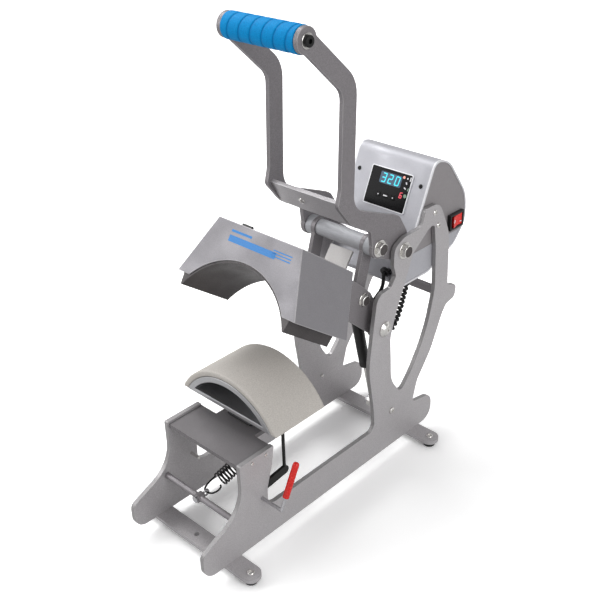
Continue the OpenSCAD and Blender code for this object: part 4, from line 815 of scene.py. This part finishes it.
gripWrap = runTree(makeWrapTree(), linkPiece("gripTape", meshOf("gripTape", [(0, 0, 0)], [])), half=grip["half"] * mm,
                   inner=grip["tubeR"] * mm, outer=grip["outerR"] * mm, bands=grip["bands"], dip=grip["dipMm"] * mm,
                   along=grip["pointsAlong"], around=grip["pointsAround"], finish=finishes["blueWrap"])
gripWrap.data.transform(Matrix.Translation(place(0, *grip["at"])))
giveBody(gripWrap, "handle", None, ["grip_wrap"], crease=60)
socketRows = [(-31.0, 3.6), (-30.6, 4.0), (0, 4.0), (0, 6.3), (0.3, 6.5), (4.2, 6.5), (4.8, 6.1), (5.0, 5.6),
              (5.0, 2.9, 5.0), (2.0, 2.8, 5.0)]
copiedPiece("gripBolts", socketRows, bothEnds(armOut, *grip["at"]), "blackOxide", "handle", ["handle_screws"])
copiedPiece("gripBoltWashers", [(0, 4.2), (0, 8.2), (0.3, 8.6), (0.9, 8.6), (1.2, 8.2), (1.2, 4.2)],
            bothEnds(armOut, *grip["at"]), "zincPlate", "handle")
# the cross plate's upper face runs from low to high (y, z)
crossPlate = {"low": (211.0, 367.0), "high": (192.5, 400.0), "screwAt": (-11, 201.75, 383.5)}
crossAlong = (Vector(crossPlate["low"]) - Vector(crossPlate["high"])).normalized()
crossOut = (0, crossAlong.y, -crossAlong.x)
crossRows = [(-8.0, 2.2), (-7.6, 2.5), (0, 2.5), (0, 4.2), (0.4, 4.5), (1.1, 4.2), (1.7, 3.2), (2.0, 2.2),
             (2.0, 1.2, 2.4), (0.9, 1.1, 2.4)]
copiedPiece("crossPlateScrew", crossRows, [(place(*crossPlate["screwAt"]), crossOut)], "zincPlate", "handle")
print("handle made")

# hold-down spring and lever
spring = {"eye": (0, 1, 55), "bar": (62, 69), "barR": 3.5, "wireR": 1.2, "meanR": 9.3, "turns": 6, "hookMm": 25.0,
          "perTurn": 20, "clearMm": 0.2, "outMm": 4}
# the hook's places: mm along the spring from the eye, and across in x
hookPlaces = [(19, 7), (17.5, 9.6), (13, 11), (7.5, 10), (3, 6.5), (1, 0), (2.2, -4.5), (6, -7.3), (12, -8.8),
              (20, -9.3)]


def springLine():
    # an open hook through the eye, a helix, and a loop round the yoke's bar
    eye, end = Vector(spring["eye"]), Vector((0, *spring["bar"]))
    along = (end - eye).normalized()
    across = Vector((0, -along.z, along.y))
    loopR = spring["barR"] + spring["wireR"] + spring["clearMm"]
    coil = (end - eye).length - loopR - spring["outMm"] - spring["hookMm"]
    steps = spring["turns"] * spring["perTurn"]
    line = [eye + along * a + Vector((x, 0, 0)) for a, x in hookPlaces]
    line = smoothPath(line, 3)[:-1]
    for i in range(steps + 1):
        angle = 2 * pi * i / spring["perTurn"]
        line.append(eye + along * (spring["hookMm"] + coil * i / steps)
                    + Vector((-spring["meanR"] * cos(angle), 0, 0)) + across * spring["meanR"] * sin(angle))
    line.append(eye + along * (spring["hookMm"] + coil + spring["outMm"] / 2) + Vector((-spring["meanR"] / 2, 0, 0)))
    for degree in range(180, -31, -15):
        line.append(eye + along * ((end - eye).length + loopR * cos(radians(degree)))
                    + across * loopR * sin(radians(degree)))
    return [place(*p) for p in line]


tubePiece("returnSpring", springLine(), spring["wireR"], "blackOxide", bodyOf["hold_down_spring"], 10,
          ["hold_down_spring"])
lever = {"at": (103, 33, 65.5), "lean": 27, "gripFrom": 16.5}
leverWay = Vector((0, sin(radians(lever["lean"])), cos(radians(lever["lean"]))))
vinylRows = [(0, 2.3), (0, 3.6), (0.5, 4.1), (1.2, 4.2), (12, 4.15), (24, 4.2), (36, 4.12), (43.0, 4.2), (44.8, 3.95),
             (46.0, 3.3), (46.7, 2.2), (47.0, 1.0)]
copiedPiece("leverSleeve", vinylRows, [(place(*(Vector(lever["at"]) + leverWay * lever["gripFrom"])), leverWay)],
            "redVinyl", "hold_down", ["hold_down_grip"])
print("spring and lever made")

# gas spring, from its stud up to the link pin
gas = {"x": 33.6, "length": 112.0, "neckMm": 13}
gasWay = Vector((0, linkPivot[0] - tie[0], linkPivot[1] - tie[1]))
gasSpan = gasWay.length
gasWay.normalize()
gasStart = Vector((gas["x"], *tie)) + gasWay * (gasSpan - gas["neckMm"] - gas["length"])
barrelRows = [(0, 3.4), (0, 6.4), (0.6, 7.1), (2.4, 7.5), (3.2, 7.2), (3.9, 7.5), (108.5, 7.5), (110.4, 7.1),
              (111.6, 6.0), (112.0, 4.6)]
copiedPiece("gasBarrel", barrelRows, [(place(*gasStart), gasWay)], "blackOxide", "gas_cylinder", ["gas_cylinder"])
neckRows = [(111.6, 3.5), (111.6, 4.8), (112.2, 5.2, 9.0), (115.4, 5.2, 9.0), (116.0, 4.6), (116.0, 4.0), (118.0, 4.0),
            (119.5, 4.4), (121.0, 4.4)]
copiedPiece("gasNeck", neckRows, [(place(*gasStart), gasWay)], "zincPlate", "gas_cylinder")
eyeRows = [(-4.0, 6.6), (-3.4, 7.6), (-2.2, 8.0), (2.2, 8.0), (3.4, 7.6), (4.0, 6.6), (4.0, 5.4), (3.4, 5.2)]
copiedPiece("gasTopEye", eyeRows, [(place(gas["x"], *linkPivot), (1, 0, 0))], "zincPlate", "gas_cylinder")
print("gas spring made")

# control housing; its case screws are measured from the handle pivot, the panel screws from the panel's middle
case = {"y": 302.0, "z": 244.0, "top": 403.0, "rear": 449.0, "lean": 24.5, "endX": 61.0, "lipMm": 2.6, "sinkMm": 0.9,
        "rockerAt": (422.6, 302.8), "inletAt": (427.0, 302.0), "hole": (28.0, 20.0), "seamZ": 284.6,
        "gapMm": 0.25, "panelMidMm": 121.5, "screws": [(63.5, 31.4), (72, 10.4)], "panelScrew": (52, 15.5)}
panelUp = Vector((0, sin(radians(case["lean"])), cos(radians(case["lean"]))))
panelOut = Vector((0, -cos(radians(case["lean"])), sin(radians(case["lean"]))))
panelMid = Vector((0, case["y"], case["z"])) + panelUp * case["panelMidMm"]
cornerAt = (case["top"] - case["z"]) * tan(radians(case["lean"])) + case["y"]
# the side view's corners, clockwise from the lower front, each with its radius
caseOutline = roundedOutline([
    (case["y"], case["z"], 6), (cornerAt, case["top"], 15), (case["rear"] - 44, case["top"] - 9, 42),
    (case["rear"], case["top"] - 70, 60), (case["rear"], case["z"] + 48, 34), (case["rear"] - 24, case["z"] + 22, 28),
    (case["y"] + 64, case["z"], 22)])


def onEnd(side):
    return lambda y, z, x: place(side * x, y, z)


def onPanel(x, y, level):
    return place(*(panelMid + Vector((x, 0, 0)) + panelUp * y + panelOut * level))


lipInner = insetOutline(caseOutline, case["lipMm"])
sunk = plateIn - case["sinkMm"]
# the lips carry the case edge's painted highlight
plainPiece("caseLips", [slab(caseOutline, [lipInner], onEnd(side), case["endX"], plateIn) for side in (1, -1)],
           "caseEdgeHighlight", "frame", ["housing_ends"], 1.2)
plateOutline = insetOutline(caseOutline, case["lipMm"] + case["gapMm"])


def cutAt(outline, level, keep):
    # the part of an outline above a level, or below it when keep is -1
    kept = []
    for i, b in enumerate(outline):
        a = outline[i - 1]
        if (a.y - level) * (b.y - level) < 0:
            kept.append(a.lerp(b, (level - a.y) / (b.y - a.y)))
        if (b.y - level) * keep > 0:
            kept.append(b)
    return kept


# the end is a grey plate over a silver one, which meet at a level seam
plainPiece("casePlates", [slab(cutAt(plateOutline, case["seamZ"], 1), [rectangle(*at, *case["hole"])], onEnd(side),
                               case["endX"], sunk) for side, at in ((1, case["rockerAt"]), (-1, case["inletAt"]))],
           "endCoat", "frame", (), 0.3)
plainPiece("caseLowPlates", [slab(cutAt(plateOutline, case["seamZ"] - 0.3, -1), [], onEnd(side), case["endX"], sunk)
                             for side in (1, -1)], "caseCoat", "frame", (), 0.3)
caseScrewRows = [(-8.5, 2.2), (-8.1, 2.5), (0, 2.5), (0, 3.8), (0.4, 4.0), (1.0, 3.8), (1.7, 2.9), (2.0, 2.1),
                 (2.0, 1.3, 2.4), (1.0, 1.2, 2.4)]
caseScrewSpots = [spot for y, z in case["screws"]
                  for spot in bothEnds(plateOut, handlePivot[0] + y, handlePivot[1] + z)]
copiedPiece("caseScrews", caseScrewRows, caseScrewSpots, "zincPlate", "frame", ["housing_screws"])
panelRows = [(-3.5, 1.6), (-3.1, 2.0), (0, 2.0), (0, 2.7), (0.3, 3.0), (0.7, 2.8), (0.9, 2.2), (0.9, 1.5, 2.6),
             (-0.2, 1.4, 2.6)]
screwX, screwY = case["panelScrew"]
copiedPiece("panelScrews", panelRows, [(onPanel(x, screwY, 0), panelOut) for x in (-screwX, screwX)], "blackOxide",
            "frame")
print("housing made")

# display and switch marks, in mm from the panel's middle. A digit is its figure, x, y, width, height and bar;
# a bar is its two ends and its width, a dot its middle and radius
display = {"x": 3.5, "w": 67.0, "h": 51.0, "face": 1.2, "sinkMm": 0.15, "printMm": 0.12, "slant": 0.10,
           "rimMm": 1.1, "rimR": (2.2, 1.2), "rimInMm": 0.2, "rimLevels": (-0.2, 1.5),
           "digits": [(figure, x, 13.1, 7.4, 13.0, 1.6) for figure, x in (("3", -7.1), ("2", 3.7), ("0", 15.2))],
           "time": ("6", 26.3, -3.3, 4.6, 8.4, 1.3), "haze": (4.0, 13.1, 35.5, 15.6, 2.0),
           "hazeLevels": (1.0, 1.24), "keyLevels": (1.7, 1.9),
           "lamp": (24.2, 20.6, 1.9), "whiteDot": (30.2, 20.2, 1.2), "greenDot": (33.2, -2.8, 2.5),
           "whiteBars": [(35.0, 17.4, 35.0, 23.0, 1.7), (29.4, 15.2, 31.0, 12.4, 1.8), (28.1, 7.7, 31.5, 6.3, 1.6)],
           "greenBar": (34.4, 4.5, 35.6, 8.5, 1.5)}
segments = {"3": "abgcd", "2": "abged", "0": "abcdef", "6": "afgcde"}


def bar(x0, y0, x1, y1, w, slant=0.0, lean0=0.0):
    # a straight mark from one point to the other; slant leans it like a digit
    along = Vector((x1 - x0, y1 - y0)).normalized()
    side = Vector((-along.y, along.x)) * w / 2
    corners = [Vector((x0, y0)) - side, Vector((x1, y1)) - side, Vector((x1, y1)) + side, Vector((x0, y0)) + side]
    return [Vector((p.x + slant * (p.y - lean0), p.y)) for p in corners]


def digit(figure, x, y, w, h, thick, slant):
    # the seven bars a to g, of which a figure lights some
    r, t = w / 2 - thick / 2, h / 2 - thick / 2
    ends = {"a": (-r, t, r, t), "b": (r, t, r, 0), "c": (r, 0, r, -t), "d": (-r, -t, r, -t), "e": (-r, -t, -r, 0),
            "f": (-r, 0, -r, t), "g": (-r, 0, r, 0)}
    return [bar(x + ends[s][0], y + ends[s][1], x + ends[s][2], y + ends[s][3], thick, slant, y)
            for s in segments[figure]]


def marks(name, outlines, look, body, low=display["face"] - display["sinkMm"],
          high=display["face"] + display["printMm"], toPoint=onPanel, holes=()):
    # thin raised prints, each from its outline
    return plainPiece(name, [slab(outline, list(holes), toPoint, low, high) for outline in outlines], look, body)


litDigits = [outline for shown in display["digits"] for outline in digit(*shown, display["slant"])]
marks("litDigits", litDigits, "litCyan", "frame")
marks("digitHaze", [roundRect(*display["haze"])], "cyanHaze", "frame", *display["hazeLevels"])
marks("timeDigit", digit(*display["time"], display["slant"]), "litRed", "frame")
marks("powerLamp", [disc(*display["lamp"])], "litAmber", "frame")
marks("whiteMarks", [disc(*display["whiteDot"])] + [bar(*at) for at in display["whiteBars"]], "printWhite", "frame")
marks("greenMarks", [disc(*display["greenDot"]), bar(*display["greenBar"])], "printGreen", "frame")
rimOuter, rimInner = [roundRect(display["x"], 0, display["w"] + more, display["h"] + more, r)
                      for more, r in zip((2 * display["rimMm"], -display["rimInMm"]), display["rimR"])]
# the rim carries the case edge's painted highlight
plainPiece("displayRim", [slab(rimOuter, [rimInner], onPanel, *display["rimLevels"])], "caseEdgeHighlight", "frame", (), 0.3)
keyMarks = {"key_left": disc(-9.2, -10, 0.9), "key_middle": bar(-0.5, -9.7, 6.0, -9.7, 1.7),
            "key_right": disc(15.2, -9.9, 0.9)}
for keyName, keyMark in keyMarks.items():
    marks(keyName + "Print", [keyMark], "printWhite", keyName, *display["keyLevels"])

# each half of the rocker leans its own way from the crease; slopes are mm out per mm back
rocker = {"creaseX": 67.45, "creaseY": 423.3, "frontSlope": -0.265, "rearSlope": 0.014, "levels": (-0.1, 0.15),
          "ring": (415.4, 303.9, 2.4), "ringHole": (415.4, 303.9, 1.2), "dash": (431.9, 298.9, 4.2, 1.3)}


def onHalf(slope):
    return lambda y, z, level: place(rocker["creaseX"] + slope * (y - rocker["creaseY"]) + level, y, z)


marks("rockerRing", [disc(*rocker["ring"])], "printWhite", "rocker", *rocker["levels"], onHalf(rocker["frontSlope"]),
      [disc(*rocker["ringHole"])])
marks("rockerDash", [rectangle(*rocker["dash"])], "printWhite", "rocker", *rocker["levels"],
      onHalf(rocker["rearSlope"]))
print("display made")

# cover: printed stripes on its front and a small clip on its top, each as x, z or y, width and height
cover = {"y": 43.0, "top": 251.5, "clip": (-22.5, 46.2, 16, 5.0), "clipLevels": (-1.0, 2.6),
         "printLevels": (-0.1, 0.12),
         "stripes": [(-24, 241.5, 34, 3.0), (-2, 232, 78, 8.0), (46, 238, 30, 1.4), (46, 234.5, 30, 1.4),
                     (46, 231, 30, 1.4)]}


def onCoverFront(x, z, level):
    return place(*openHead(x, cover["y"] - level, z))


def onCoverTop(x, y, level):
    return place(*openHead(x, y, cover["top"] + level))


marks("coverStripes", [rectangle(*at) for at in cover["stripes"]], "printBlue", "head", *cover["printLevels"],
      onCoverFront)
plainPiece("coverClip", [slab(rectangle(*cover["clip"]), [], onCoverTop, *cover["clipLevels"])], "blackNylon", "head",
           (), 0.8)
print("cover made")

# soft pieces
soft = {"voxelMm": 1.3, "smooth": 6}


def softPiece(name, node, look):
    # the CAD solid as a soft slab: remeshed finely, then relaxed so that its edges roll over
    piece = linkPiece(name, copyOfNode(node, name))
    remesh = piece.modifiers.new("even", "REMESH")
    remesh.mode = "VOXEL"
    remesh.voxel_size = soft["voxelMm"] * mm
    relax = piece.modifiers.new("relax", "SMOOTH")
    relax.factor = 0.5
    relax.iterations = soft["smooth"]
    applyModifiers(piece)
    giveBody(piece, bodyOf[node], look, [node], crease=80)


softPiece("platenPad", "platen_pad", "siliconePad")
softPiece("heaterBlanket", "heater_blanket", "glassCloth")
print("soft pieces made")
